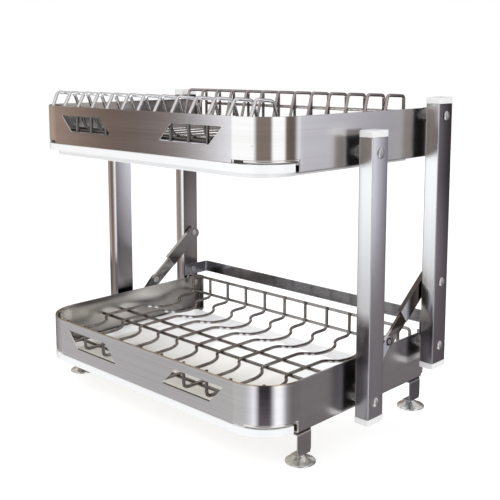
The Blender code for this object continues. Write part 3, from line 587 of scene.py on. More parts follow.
def rivetSteel(name, washer=None):  # washer is the shade between panel and leg, or of a knee rivet's ring
    finish = Finish(name)
    mottle = finish.grain((350, 350, 350), 3.0)
    outward = finish.size(finish.along("X"))
    colour = finish.mix(mottle, (0.66, 0.66, 0.67), (0.82, 0.82, 0.83))
    if washer:
        inward = finish.ramp(outward, linkInside - 0.0002, linkInside)
        inward = inward * finish.ramp(outward, linkOutside + 0.0008, linkOutside + 0.0007)
        colour = finish.mix(inward, colour, washer)
    return finish.surface(
        BaseColor=colour,
        Metallic=1.0,
        Roughness=0.30 + mottle * 0.12,
        Normal=finish.bump(mottle, 0.10, 0.0002),
    )


bowlLooks = {
    "corner": 0.036, "front": 0.0100, "inset": 0.0148, "heights": (0.040, 0.038),
    "fade": (0.22, 0.08), "rearTint": (0.96, 0.96, 0.97), "rear": (0.245, 0.252),
}


def whitePlastic(name, low, high, roughness, bowlShade=None):
    finish = Finish(name)
    cloud = finish.grain((14, 14, 14), 3.0)
    skin = finish.grain((700, 700, 700), 2.0)
    colour = finish.mix(cloud, low, high)
    if bowlShade:  # painted shade makes the lower bowl darker and warmer inside, more so in front
        look = bowlLooks
        corner, back = look["corner"], finish.along("Y") - frontY
        across = finish.above(finish.size(finish.along("X")) - (panelOutside - look["inset"] - corner), 0)
        reach = finish.span(across, finish.above(look["front"] + corner - back, 0))
        bowl = finish.ramp(reach, corner - 0.0012, corner - 0.0018) * finish.ramp(back, *look["fade"])
        colour = finish.mix(bowl * finish.ramp(finish.along("Z"), *look["heights"]), colour, bowlShade)
        # painted light: the rear of the bowl is whiter
        colour = finish.mix(finish.ramp(back, *look["rear"]), colour, look["rearTint"])
    return finish.surface(
        BaseColor=colour,
        Roughness=roughness + skin * 0.06,
        Normal=finish.bump(skin, 0.03, 0.0002),
    )


finishes = {
    "frame": brushedSteel(),
    # the rear legs are a darker copy of the front legs' steel: painted shade
    "frontLeg": legSteel(
        "frontLegSteel", ((0.78, 0.77, 0.78), (0.86, 0.86, 0.88)),
        ((0.50, 0.48, 0.49), (0.78, 0.78, 0.81)), 0.136),
    "rearLeg": legSteel(
        "rearLegSteel", ((0.46, 0.44, 0.45), (0.22, 0.20, 0.205)),
        ((0.27, 0.24, 0.23), (0.085, 0.075, 0.08)), 0.114),
    "bar": barSteel(),
    "stop": shadowBlack(),
    "rackWire": wireSteel(
        "rackWire", (0.84, 0.84, 0.86), (0.96, 0.96, 0.98), (0.16, 0.15, 0.16),
        sunk=((0.18, 0.17, 0.165), (0.42, 0.38, 0.37))),
    # the basket wires are a darker copy of the rack wires' steel: painted shade
    "basketWire": wireSteel(
        "basketWire", (0.15, 0.13, 0.12), (0.32, 0.29, 0.275), (0.05, 0.04, 0.04), fence=(0.37, 0.35, 0.34)),
    "link": linkSteel(),
    "pad": padChrome(),
    "pin": rivetSteel("pinSteel", (0.34, 0.335, 0.36)),
    "knee": rivetSteel("kneeSteel", (0.05, 0.045, 0.05)),
    "rivet": rivetSteel("rivetSteel"),
    "tray": whitePlastic(
        "trayPlastic", (0.81, 0.815, 0.825), (0.85, 0.855, 0.865), 0.10, (0.57, 0.55, 0.50)),
    "cap": whitePlastic("capPlastic", (0.80, 0.80, 0.81), (0.84, 0.84, 0.85), 0.22),
}
print("finishes ready")


def makeFrame(tier, base):
    size = frameSizes
    low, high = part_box(tier + "_frame")
    half, depth, top = high.x, high.y - low.y, high.z
    bandLow = base + size["bandDrop"]
    returnLow = base + size["returnRise"]
    inner = half - size["returnWidth"]
    right = [(inner, depth), (half, depth), (half, size["railEnd"]), (half, 0)]
    plan = right + [(-x, back) for x, back in reversed(right)]
    piece = chain(tier + "FrameSheet", [at(x, back, bandLow) for x, back in plan])
    pick("VERT", lambda x, back, z: near(abs(x), half) and near(back, 0))
    roundOff(size["cornerRadius"], size["cornerSteps"], "VERTICES")
    pick("VERT", lambda x, back, z: near(abs(x), half) and near(back, depth))
    roundOff(size["bend"], 4, "VERTICES")
    pickAll()
    pull(0, 0, top - bandLow)
    behindCorner = size["cornerRadius"] - tiny
    pick("EDGE", lambda x, back, z: near(z, bandLow) and back > behindCorner)
    pull(0, 0, returnLow - bandLow)
    pick("EDGE", lambda x, back, z: near(z, returnLow) and back < size["railEnd"] + tiny)
    pull(0, 0, base - returnLow)
    for side in (-1, 1):
        pick("EDGE", lambda x, back, z: near(z, base) and near(x, side * half))
        pull(-side * size["railWidth"], 0, 0)
        pull(0, 0, size["railLip"])
    for fold in (half, half - size["railWidth"]):
        pick("EDGE", lambda x, back, z: near(z, base) and near(abs(x), fold))
        roundOff(size["bend"], 4, "EDGES")
    tidyNormals()
    letGo()
    faceTowards(piece, (0, -1, 0))
    modify(piece, "SOLIDIFY", thickness=size["sheet"], offset=-1.0, use_even_offset=True)
    for side in (-1, 1):
        carve(piece, windowCutter(side, top))
        raised = sorted((side * size["raisedStart"], side * (half + overrun)))
        low = at(raised[0], -overrun, bandLow - overrun)
        high = at(raised[1], size["cornerRadius"] - size["raisedShort"], bandLow + size["beadRise"])
        carve(piece, block("raisedCutter", low, high))
    ease(piece, size["edge"])
    extras = [topHem(half, top)]
    for side in (-1, 1):
        extras += [rolledEdge(side, half, bandLow), hook(side, half, base, bandLow)]
    return joined(tier + "FrameSheet", [piece] + extras)


def hook(side, half, base, bandLow):  # the bright folded front edge of a side panel and its rail
    size = frameSizes
    hem, back, low = size["hem"], size["cornerRadius"], base + size["hem"]
    rail = half - size["railWidth"]
    corners = [(half - hem, bandLow + size["hookRise"]), (half - hem, low), (rail, low)]
    corners.append((rail, base + size["hookLip"]))
    line = softened([at(side * x, back, z) for x, z in corners], size["hookBend"], 4)
    return tube("hook", line, hem + 2 * tiny, 3)


def rolledEdge(side, half, bandLow):  # the rolled lower edge round a front corner
    size = frameSizes
    radius, bead = size["cornerRadius"], size["bead"]
    line = arc(half - radius, radius, radius - bead - size["beadIn"], size["beadAngle"], 0, 22)
    line = [(x, back) for x, back in line if back <= size["beadEnd"]]
    return tube("rolledEdge", [at(side * x, back, bandLow + bead) for x, back in line], bead + 2 * tiny, 3)


def topHem(half, top):  # the folded upper edge, from one rear corner round to the other
    size = frameSizes
    radius, hem = size["cornerRadius"], size["topHem"]
    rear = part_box("lower_frame")[1].y - frontY - size["hemEnd"]
    right = arc(half - radius, radius, radius - hem, -90, 0, 20) + [(half - hem, rear)]
    line = [(-x, back) for x, back in reversed(right)] + right
    return tube("topHem", [at(x, back, top - hem) for x, back in line], hem + tiny, 2)


def makeNotchShade(tier, word, side, base):  # a small black piece in the gap beside the rolled edge, where there is only shade: painted shade
    size = frameSizes
    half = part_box(tier + "_frame")[1].x
    radius = size["cornerRadius"]
    start, end = size["notchShadeAngle"], size["beadAngle"] + size["notchShadeLap"]
    plan = arc(half - radius, radius, radius - size["notchShadeOut"], start, end, 6)
    plan += arc(half - radius, radius, radius - size["stopIn"], end, start, 6)
    low = base + size["bandDrop"] - size["notchShadeDrop"]
    outline = [at(side * x, back, low) for x, back in plan]
    piece = prism(f"{tier}{word.title()}NotchShade", outline, (0, 0, size["notchShadeHeight"]))
    ease(piece, softEdge)
    dress(piece, bodyOf[tier + "_frame"], finishes["stop"])


def windowCutter(side, top):
    size = frameSizes
    high = top - size["windowTopMargin"]
    low = high - size["windowHeight"]
    inner, slant, width = size["windowInner"], size["windowSlant"], size["windowWidth"]
    corners = [(inner, low), (inner + width, low), (inner + width + slant, high), (inner + slant, high)]
    outline = [at(side * x, -overrun, z) for x, z in corners]
    return prism("windowCutter", outline, (0, 2 * overrun, 0), size["windowCorner"])


for tier, base in tiers:
    settle(makeFrame(tier, base), tier + "_frame", finishes["frame"])
makeNotchShade("upper", "right", 1, tiers[1][1])  # the only one that the photograph shows
print("frames ready")


wireSizes = {
    "radius": 0.0020, "floorRise": 0.027, "weld": 0.0027, "tipGap": 0.0006, "rodEnd": 0.008, "rodBend": 0.005,
}
basketSizes = {
    "count": 11, "reach": 0.1885, "bend": 0.007, "tip": 0.0050, "tipHeight": 0.0305,
    "shelf": 0.011, "bulge": 0.010,
    "frontDipEnd": 0.0845, "shelfEnd": 0.159, "rearDipStart": 0.208, "rearDipEnd": 0.2205,
    "fence": 0.2585, "fenceHeight": 0.0385, "fenceLow": 0.014,
    "frontRod": 0.030, "frontRodReach": 0.2010, "shelfRods": (0.10105, 0.13308),
}
rackSizes = {  # a spot is (distance back, height over the rack's floor)
    "count": 13, "reach": 0.1764, "bend": 0.0045, "tip": 0.0050, "tipHeight": 0.0285,
    "frontLoop": ((0.0165, 0.048), (0.042, 0.0455)), "floor": (0.0595, 0.2305),
    "rearLoop": ((0.2435, 0.0465), (0.277, 0.045)), "rearLow": 0.009,
    "frontRod": 0.0077, "frontRodHeight": 0.002, "frontRodReach": 0.1815, "floorRods": (0.067, 0.224),
    "rearRod": 0.2797, "rearRodHeight": 0.0256, "rearRodReach": 0.179,
}


def sBend(start):
    size = basketSizes
    shares = ((0, 0), (1, 0.32), (0.76, 0.86), (1.35, 1))
    return [(start + a * size["bulge"], b * size["shelf"]) for a, b in shares]


def basketPath(tip):
    size = basketSizes
    fall = size["rearDipStart"] - size["shelfEnd"]
    corners = [(tip, size["tipHeight"]), (tip, 0)] + sBend(size["frontDipEnd"])
    slope = ((0, 1), (0.33, 0.59), (0.65, 0.2), (1, 0.03))
    corners += [(size["shelfEnd"] + a * fall, b * size["shelf"]) for a, b in slope] + sBend(size["rearDipEnd"])
    corners += [(size["fence"], size["shelf"]), (size["fence"], size["fenceHeight"] + wireSizes["radius"])]
    return corners


def rackPath(tip):
    size = rackSizes
    front = [(tip, 0), (tip, size["tipHeight"]), *size["frontLoop"]]
    floor = [(back, 0) for back in size["floor"]]
    return front + floor + [*size["rearLoop"], (size["rearLoop"][1][0], size["rearLow"])]


def outerTip(node, x):  # an outer wire's front end stands further back, inside the round corner
    corner = frameSizes["cornerRadius"]
    radius = corner - frameSizes["sheet"] - wireSizes["tipGap"]
    side = x + wireSizes["radius"] - (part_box(node)[1].x - corner)
    return corner - math.sqrt(radius ** 2 - side ** 2) + wireSizes["radius"]


def wireWork(name, tier, base, path, size, rods):  # one wire copied side by side, and rods across
    floor = base + wireSizes["floorRise"]
    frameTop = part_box(tier + "_frame")[1].z
    pitch = 2 * size["reach"] / (size["count"] - 1)

    def wire(x, tip):
        line = softened([(0, back, z) for back, z in path(tip)], size["bend"])
        return tube("wire", [at(x, spot.y, floor + spot.z) for spot in line], wireSizes["radius"])

    first = wire(-size["reach"] + pitch, size["tip"])
    outer = wire(-size["reach"], outerTip(tier + "_frame", size["reach"]))
    pieces = [first, outer, mirrored(outer, "wire")]
    pieces += [copyOf(first, "wire", x=i * pitch) for i in range(1, size["count"] - 2)]
    for back, z, reach in rods:
        line = [at(x, back, floor + z) for x in (-reach, 0, reach)]
        if floor + z > frameTop and tier == "lower":  # bends down to the panel
            drop = Vector((0, 0, frameTop - wireSizes["rodEnd"] - floor - z))
            line = softened([line[0] + drop] + line + [line[-1] + drop], wireSizes["rodBend"])
        pieces.append(tube("rod", line, wireSizes["radius"]))
    return joined(name, pieces)


panelReach = panelOutside - frameSizes["sheet"] - seatGap
shelfRod = basketSizes["shelf"] - wireSizes["weld"]
fenceRod = basketSizes["fence"] + wireSizes["weld"]
basketRods = [(basketSizes["frontRod"], -wireSizes["weld"], basketSizes["frontRodReach"])]
basketRods += [(back, shelfRod, panelReach) for back in basketSizes["shelfRods"]]
for rod in ("fenceLow", "fenceHeight"):
    basketRods.append((fenceRod, basketSizes[rod], panelReach - wireSizes["radius"]))
basket = wireWork("basketWires", "lower", tiers[0][1], basketPath, basketSizes, basketRods)
settle(basket, "lower_wire_basket", finishes["basketWire"])

rackRods = [(rackSizes["frontRod"], rackSizes["frontRodHeight"], rackSizes["frontRodReach"])]
rackRods += [(back, -wireSizes["weld"], panelReach) for back in rackSizes["floorRods"]]
rackRods += [(rackSizes["rearRod"], rackSizes["rearRodHeight"], rackSizes["rearRodReach"])]
rack = wireWork("rackWires", "upper", tiers[1][1], rackPath, rackSizes, rackRods)
settle(rack, "upper_plate_rack", finishes["rackWire"])
print("wires ready")


traySizes = {
    "below": 0.0045, "top": 0.0104, "wall": 0.002, "railRoom": 0.0035, "depth": 0.2655,
    "bowlFront": 0.0100, "bowlCorner": 0.036, "rearCorner": 0.008, "edge": 0.0007,
    "inset": 0.0005, "lip": 0.0088, "lipEnd": 0.0430, "lipCorner": 0.0470,
    "wingStart": 0.052, "wingWidth": 0.0103, "wingLow": 0.0078, "wingHigh": 0.0096,
}


def bowlPlan(half, shrink):  # the bowl's outline from above, shrunk by some width
    size = traySizes
    front, rear = size["bowlFront"] + shrink, size["depth"] - shrink
    corner, tail = size["bowlCorner"] - shrink, size["rearCorner"] - shrink
    half -= shrink
    right = arc(half - corner, front + corner, corner, -90, 0, 20)
    right += arc(half - tail, rear - tail, tail, 0, 90, 6)
    return right + [(-x, back) for x, back in reversed(right)]


def makeTray(tier, base):
    size = traySizes
    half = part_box(tier + "_frame")[1].x
    wide, bowl = half - size["inset"], half - frameSizes["railWidth"] - size["railRoom"]
    low, high = base - size["below"], base + size["top"]
    piece = prism(tier + "Tray", [at(x, back, low) for x, back in bowlPlan(bowl, 0)], (0, 0, high - low))
    wall, corner = size["wall"], size["lipCorner"]
    last = math.degrees(math.asin((size["lipEnd"] - size["inset"] - corner) / corner))
    right = arc(wide - corner, size["inset"] + corner, corner, -90, last, 22)
    plan = [(x, back) for x, back in reversed(right)] + [(-x, back) for x, back in right]
    lip = prism("lip", [at(x, back, high - size["lip"]) for x, back in plan], (0, 0, size["lip"]))
    carve(piece, lip, "UNION")
    inside = [at(x, back, low + wall) for x, back in bowlPlan(bowl, wall)]
    pocket = prism("pocket", inside, (0, 0, high - low + overrun))
    carve(piece, pocket)
    ease(piece, size["edge"], 3)
    wings = []
    for side in (-1, 1):
        edges = sorted((side * (bowl - wall / 2), side * (bowl + size["wingWidth"])))
        front = at(edges[0], size["wingStart"], base + size["wingLow"])
        wing = block("wing", front, at(edges[1], size["depth"] - size["rearCorner"], base + size["wingHigh"]))
        ease(wing, softEdge)
        wings.append(wing)
    return joined(tier + "Tray", [piece] + wings)


for tier, base in tiers:
    settle(makeTray(tier, base), tier + "_drip_tray", finishes["tray"])
print("trays ready")


legSizes = {
    "corner": 0.0014, "steps": 5, "crown": 0.00030, "crownShares": (-0.6, -0.2, 0.2, 0.6),
    "capProud": 0.0002, "capEdge": 0.0011, "capTrim": 0.0019,
}


def legPlan(low, high, grow):  # a crowned tube section, seen from above
    size = legSizes
    corner, crown = size["corner"], size["crown"]
    centre = (low + high) / 2
    halves = ((high.x - low.x) / 2 + grow, (high.y - low.y) / 2 + grow)
    points = []
    for quarter, (x, y) in enumerate(((1, 0), (0, 1), (-1, 0), (0, -1))):  # each a corner and the face after it
        out, along = halves[quarter % 2], halves[1 - quarter % 2]
        spots = arc(out - corner - crown, corner + crown - along, corner, -90, 0, size["steps"])
        spots += [(out - crown * share ** 2, share * (along - corner)) for share in size["crownShares"]]
        points += [(centre.x + a * x - b * y, centre.y + a * y + b * x) for a, b in spots]
    return points


def makeLeg(node):
    low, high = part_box(node)
    low.z -= legSizes["capTrim"]
    high.z += legSizes["capTrim"]
    plan = legPlan(low, high, 0)
    piece = prism(node.replace("_", "") + "Tube", [(x, y, low.z) for x, y in plan], (0, 0, high.z - low.z))
    smooth(piece, 30)
    modify(piece, "WEIGHTED_NORMAL", keep_sharp=True, weight=50)
    return piece


def makeCap(node, up):
    leg = node.rsplit("_", 2)[0]
    low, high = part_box(leg)
    seat = (high.z if up > 0 else low.z) + up * (seatGap + legSizes["capTrim"])
    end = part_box(node)[up > 0].z
    plan = legPlan(low, high, legSizes["capProud"])
    piece = prism(node.replace("_", "") + "Cover", [(x, y, seat) for x, y in plan], (0, 0, end - seat))
    edit(piece)
    pick("EDGE", lambda x, back, z: near(z, end))
    roundOff(legSizes["capEdge"], 4, "EDGES")
    smooth(piece, 30)
    return piece


for end in ("front", "rear"):
    for word in ("left", "right"):
        leg = f"{end}_{word}_leg"
        settle(makeLeg(leg), leg, finishes[end + "Leg"])
        for cap, up in ((leg + "_top_cap", 1), (leg + "_bottom_cap", -1)):
            settle(makeCap(cap, up), cap, finishes["cap"])
print("legs ready")


pinSizes = {
    "stem": 0.003, "spacer": 0.0074, "smallSpacer": 0.0065, "dome": 0.0057,
    "inner": 0.0045, "innerRise": 0.0012,
}


def middleOf(node):
    low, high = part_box(node)
    return (low + high) / 2


def pinAcross(name, node, shape):  # shape is (radius, distance from the middle of the rack) pairs
    centre = middleOf(node)
    side = 1 if centre.x > 0 else -1
    points = [(side * x, centre.y, centre.z + radius) for radius, x in shape]
    return turned(name, points, (0, centre.y, centre.z), (1, 0, 0))


def domeShape(node):  # the domed head on the outer face of a leg
    radius, foot = pinSizes["dome"], legOutside + seatGap
    outer = max(abs(corner.x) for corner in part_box(node))
    curve = ((1, 0.18), (0.94, 0.42), (0.80, 0.68), (0.58, 0.87), (0.30, 0.97))
    dome = [(radius * share, foot + (outer - foot) * rise) for share, rise in curve]
    return [(0, foot), (radius - softEdge, foot)] + dome + [(0, outer)]


def pivotShape(node):
    size = pinSizes
    stem, head = size["stem"], size["inner"]
    inner = min(abs(corner.x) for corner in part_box(node))
    rise = inner + size["innerRise"]
    low, high = panelOutside + seatGap, legInside - seatGap
    spacer = size["spacer"]
    if node.startswith("front") and "lower" in node:  # the folded braces pass close by these
        spacer = size["smallSpacer"]
    dome = domeShape(node)
    return [
        (0, inner), (head * 0.6, inner), (head, inner + 0.0005), (head, rise), (stem, rise), (stem, low),
        (spacer - 0.0004, low), (spacer, low + 0.0005), (spacer, high - 0.0006), (spacer - 0.0005, high),
        (stem, high), (stem, dome[0][1]),
    ] + dome[1:]


for end in ("front", "rear"):
    for word in ("left", "right"):
        for level in ("lower", "upper"):
            node = f"{end}_{word}_{level}_pivot"
            pin = pinAcross(f"{end}{word.title()}{level.title()}Pin", node, pivotShape(node))
            settle(pin, node, finishes["pin"])
print("pins ready")


rivetSizes = {
    "stem": 0.002, "ring": 0.0050, "dome": 0.0030, "head": 0.0042, "rise": 0.0006,
    "linkGrip": 0.0008, "legGrip": 0.0015, "panelGrip": 0.0012,
    "barStem": 0.0022, "barHead": 0.004, "barRise": 0.001, "barSheet": 0.0014, "edge": 0.0002,
}


def rivetShape(spans):  # the outline of steps, each a (radius, low, high) with eased ends
    shape = [(0, spans[0][1])]
    for radius, low, high in spans:
        soft = min(rivetSizes["edge"], (high - low) / 3)
        shape += [(radius - soft, low), (radius, low + soft), (radius, high - soft), (radius - soft, high)]
    return shape + [(0, spans[-1][2])]


def rivetSpans(kind):  # the steps of one rivet, outwards
    size, gap = rivetSizes, seatGap
    stem, ring, head, dome, rise = (size[part] for part in ("stem", "ring", "head", "dome", "rise"))
    start, end = linkInside - gap, linkOutside + gap
    legEnd = legInside + size["legGrip"]
    if kind == "knee_rivet_inner":
        low = start - rise * 0.5
        return [(dome, low - rise * 0.7, low), (ring, low, start), (stem, start, linkInside + size["linkGrip"])]
    if kind == "knee_rivet_outer":
        high = end + rise * 0.5
        return [(stem, linkOutside - size["linkGrip"], end), (ring, end, high), (dome, high, high + rise * 0.7)]
    if kind == "brace_foot_pin":
        foot = panelOutside + gap
        spans = [(stem, panelOutside - size["panelGrip"], foot), (head, foot, start)]
        return spans + [(stem, start, end), (head, end, end + rise)]
    if kind == "brace_top_pin":
        spans = [(head, start - rise, start), (stem, start, end)]
        return spans + [(head, end, legInside - gap), (stem, legInside - gap, legEnd)]
    arm = legInside - 2 * gap - size["barSheet"]
    return [(size["barHead"], arm - size["barRise"], arm), (size["barStem"], arm, legEnd)]


for kind in ("knee_rivet_inner", "knee_rivet_outer", "brace_foot_pin", "brace_top_pin", "cross_bar_rivet"):
    for word in ("left", "right"):
        node = f"{kind}_{word}"
        name = "".join(part.title() for part in node.split("_"))
        piece = pinAcross(name, node, rivetShape(rivetSpans(kind)))
        if kind == "brace_top_pin":
            piece = joined(name, [piece, pinAcross("outerHead", node, domeShape("rear_right_upper_pivot"))])
        settle(piece, node, finishes["knee" if "knee" in kind else "rivet"])
print("rivets ready")


barSizes = {"sheet": 0.0014, "corner": 0.005, "edge": 0.0004}


def makeBar():
    low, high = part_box("rear_cross_bar")
    start, depth = low.y - frontY, high.y - frontY
    plan = [(high.x, start), (high.x, depth), (-high.x, depth), (-high.x, start)]
    piece = chain("crossBarStrip", [at(x, back, low.z) for x, back in plan])
    pick("VERT", lambda x, back, z: near(back, depth))
    roundOff(barSizes["corner"], 10, "VERTICES")
    pickAll()
    pull(0, 0, high.z - low.z)
    tidyNormals()
    letGo()
    faceTowards(piece, (0, 1, 0))
    modify(piece, "SOLIDIFY", thickness=barSizes["sheet"], offset=-1.0, use_even_offset=True)
    ease(piece, barSizes["edge"])
    return piece


settle(makeBar(), "rear_cross_bar", finishes["bar"])
print("cross bar ready")


braceSizes = {
    "sheet": 0.0008, "lowerHalf": 0.006, "lowerRoundShare": 0.9, "length": 0.060, "notch": 0.021,
    "wideHalf": 0.0085, "wideRoundShare": 0.85, "rearHalf": 0.0105, "narrowHalf": 0.0050, "wideEnd": 0.038,
    "tongueRound": 0.005, "tongueCut": 0.003, "nestGap": 0.0004, "edge": 0.00025,
}


def spotOf(node):
    centre = middleOf(node)
    return (centre.y - frontY, centre.z)


def roundedBar(start, end, low, high, radius, steps=6, roundEnd=True):  # a bar's outline, along and across
    outline = []
    corners = [(start, low, 180), (end, low, 270), (end, high, 0), (start, high, 90)]
    for along, across, turn in corners:
        inA = start + radius if along == start else end - radius
        inB = low + radius if across == low else high - radius
        if along == end and not roundEnd:
            outline.append((along, across))
            continue
        for step in range(steps + 1):
            angle = math.radians(turn + 90 * step / steps)
            outline.append((inA + radius * math.cos(angle), inB + radius * math.sin(angle)))
    return outline


def boxOutline(a0, a1, b0, b1):
    return [(a0, b0), (a1, b0), (a1, b1), (a0, b1)]


def slab(name, outline, origin, angle, hand, start, end):  # an outline laid along a link, from start to end
    ahead, rise = math.cos(angle), math.sin(angle)
    points = []
    for along, across in outline:
        back = origin[0] + along * ahead - across * hand * rise
        points.append(at(start, back, origin[1] + along * rise + across * hand * ahead))
    return prism(name, points, (end - start, 0, 0))


def makeLowerLink(word, side):
    size = braceSizes
    foot, knee = spotOf(f"brace_foot_pin_{word}"), spotOf(f"knee_rivet_outer_{word}")
    angle = math.atan2(knee[1] - foot[1], knee[0] - foot[0])
    half, sheet = size["lowerHalf"], size["sheet"]
    end = size["length"] + half
    body = roundedBar(-half, end, -half, half, half * size["lowerRoundShare"])
    piece = slab(f"lowerLink{word.title()}", body, foot, angle, 1, side * linkInside, side * linkOutside)
    over = half + overrun
    web, notch = half - sheet, size["length"] - size["notch"]
    far = end + over
    pocket = [(-over, -over), (far, -over), (far, over), (notch, over), (notch, web), (-over, web)]
    walls = side * (linkInside + sheet), side * (linkOutside - sheet)
    carve(piece, slab("pocket", pocket, foot, angle, 1, *walls))
    ease(piece, size["edge"])
    return piece


def makeUpperLink(word, side):
    size = braceSizes
    top, knee = spotOf(f"brace_top_pin_{word}"), spotOf(f"knee_rivet_outer_{word}")
    angle = math.atan2(knee[1] - top[1], knee[0] - top[0])
    length = math.hypot(knee[1] - top[1], knee[0] - top[0])
    sheet, wide, narrow, rear = size["sheet"], size["wideHalf"], size["narrowHalf"], size["rearHalf"]
    wideEnd = length - size["wideEnd"]
    end = length + narrow
    nestLow = linkInside + sheet + size["nestGap"]
    nestHigh = linkOutside - sheet - size["nestGap"]
    body = roundedBar(-wide, wideEnd, -rear, wide, wide * size["wideRoundShare"], steps=8, roundEnd=False)
    piece = slab(f"upperLink{word.title()}", body, top, angle, -1, side * linkInside, side * linkOutside)
    bend, cut, turns = size["tongueRound"], size["tongueCut"], (0, 0.4, 0.8, 1.2, math.pi / 2)
    turn = [(end - bend + bend * math.sin(a), -rear + bend - bend * math.cos(a)) for a in turns]
    tongue = [(wideEnd - sheet, -rear)] + turn
    tongue += [(end, narrow - cut), (end - cut, narrow), (wideEnd - sheet, narrow)]
    carve(piece, slab("tongue", tongue, top, angle, -1, side * nestLow, side * nestHigh), "UNION")
    over = rear + overrun
    wideCut = boxOutline(-over, wideEnd - sheet, -over, wide - sheet)
    narrowCut = boxOutline(wideEnd, end + over, -over, narrow - sheet)
    for cut, low, high in ((wideCut, linkInside, linkOutside), (narrowCut, nestLow, nestHigh)):
        carve(piece, slab("pocket", cut, top, angle, -1, side * (low + sheet), side * (high - sheet)))
    ease(piece, size["edge"])
    return piece


for word, side in sides:
    settle(makeLowerLink(word, side), f"brace_lower_link_{word}", finishes["link"])
    settle(makeUpperLink(word, side), f"brace_upper_link_{word}", finishes["link"])
print("braces ready")


footSizes = {
    "flange": 0.0115, "strip": 0.022, "tongue": 0.020, "tongueTop": 0.012, "shoulder": 0.001,
    "sheet": 0.0015, "bend": 0.0018, "railShadow": 0.0017, "railShadowInset": 0.0004, "railShadowLap": 0.0002,
    "sole": 0.012, "soleRise": 0.0004, "soleEdge": 0.0005, "disc": 0.0167, "discEdge": 0.0006, "rim": 0.0018,
    "cone": ((0.0146, 0.0024), (0.0122, 0.0031), (0.0098, 0.0042), (0.0078, 0.0054), (0.0062, 0.0066)),
    "coneTop": 0.0072, "hub": 0.005, "hubTop": 0.0085,
}


def makeBracket(end, word, side):
    size = footSizes
    low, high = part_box(f"{end}_{word}_foot_bracket")
    high.z -= size["railShadow"]
    outer = max(abs(low.x), abs(high.x))
    back = (low.y + high.y) / 2 - frontY
    strip, tongue = size["strip"] / 2, size["tongue"] / 2
    shoulder = size["tongueTop"] + size["shoulder"]
    outline = [(-strip, high.z), (-strip, shoulder), (-tongue, size["tongueTop"]), (-tongue, low.z)]
    outline += [(-a, z) for a, z in reversed(outline)]
    piece = plate(f"{end}{word.title()}Bracket", [at(side * outer, back + a, z) for a, z in outline])
    for level in (high.z, low.z):
        pick("EDGE", lambda x, behind, z: near(z, level) and near(abs(x), outer))
        pull(-side * size["flange"], 0, 0)
    for level in (high.z, low.z):
        pick("EDGE", lambda x, behind, z: near(z, level) and near(abs(x), outer))
        roundOff(size["bend"], 4, "EDGES")
    tidyNormals()
    letGo()
    faceTowards(piece, (side, 0, 0))
    modify(piece, "SOLIDIFY", thickness=size["sheet"], offset=-1.0, use_even_offset=True)
    ease(piece, softEdge)
    return piece


def makePad(end, word):
    size = footSizes
    centre = middleOf(f"{end}_{word}_foot_pad")
    disc, rim, hub, top = size["disc"], size["rim"], size["hub"], size["hubTop"]
    sole, rise, soleEdge, discEdge = size["sole"], size["soleRise"], size["soleEdge"], size["discEdge"]
    shape = [
        (0, rise), (sole, rise), (sole + soleEdge, 0), (disc - discEdge, 0), (disc, soleEdge),
        (disc, rim - rise), (disc - discEdge, rim), *size["cone"], (hub + softEdge, size["coneTop"]),
        (hub, top - softEdge), (hub - softEdge, top), (0, top),
    ]
    points = [(centre.x + radius, centre.y, z) for radius, z in shape]
    return turned(f"{end}{word.title()}Pad", points, (centre.x, centre.y, 0), (0, 0, 1), steps=48)


def makeRailShadow(end, word):  # a black strip between the rail and the bracket, where there is only shade: painted shade
    low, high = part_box(f"{end}_{word}_foot_bracket")
    low.y += footSizes["railShadowInset"]
    high.y -= footSizes["railShadowInset"]
    low.z = high.z - footSizes["railShadow"] + footSizes["railShadowLap"]
    piece = block(f"{end}{word.title()}RailShadow", low, high)
    ease(piece, softEdge)
    dress(piece, "base", finishes["stop"])


# the rear brackets take the darker bar steel: painted shade
for end, steel in (("front", finishes["frame"]), ("rear", finishes["bar"])):
    for word, side in sides:
        settle(makeBracket(end, word, side), f"{end}_{word}_foot_bracket", steel)
        settle(makePad(end, word), f"{end}_{word}_foot_pad", finishes["pad"])
        makeRailShadow(end, word)
print("feet ready")


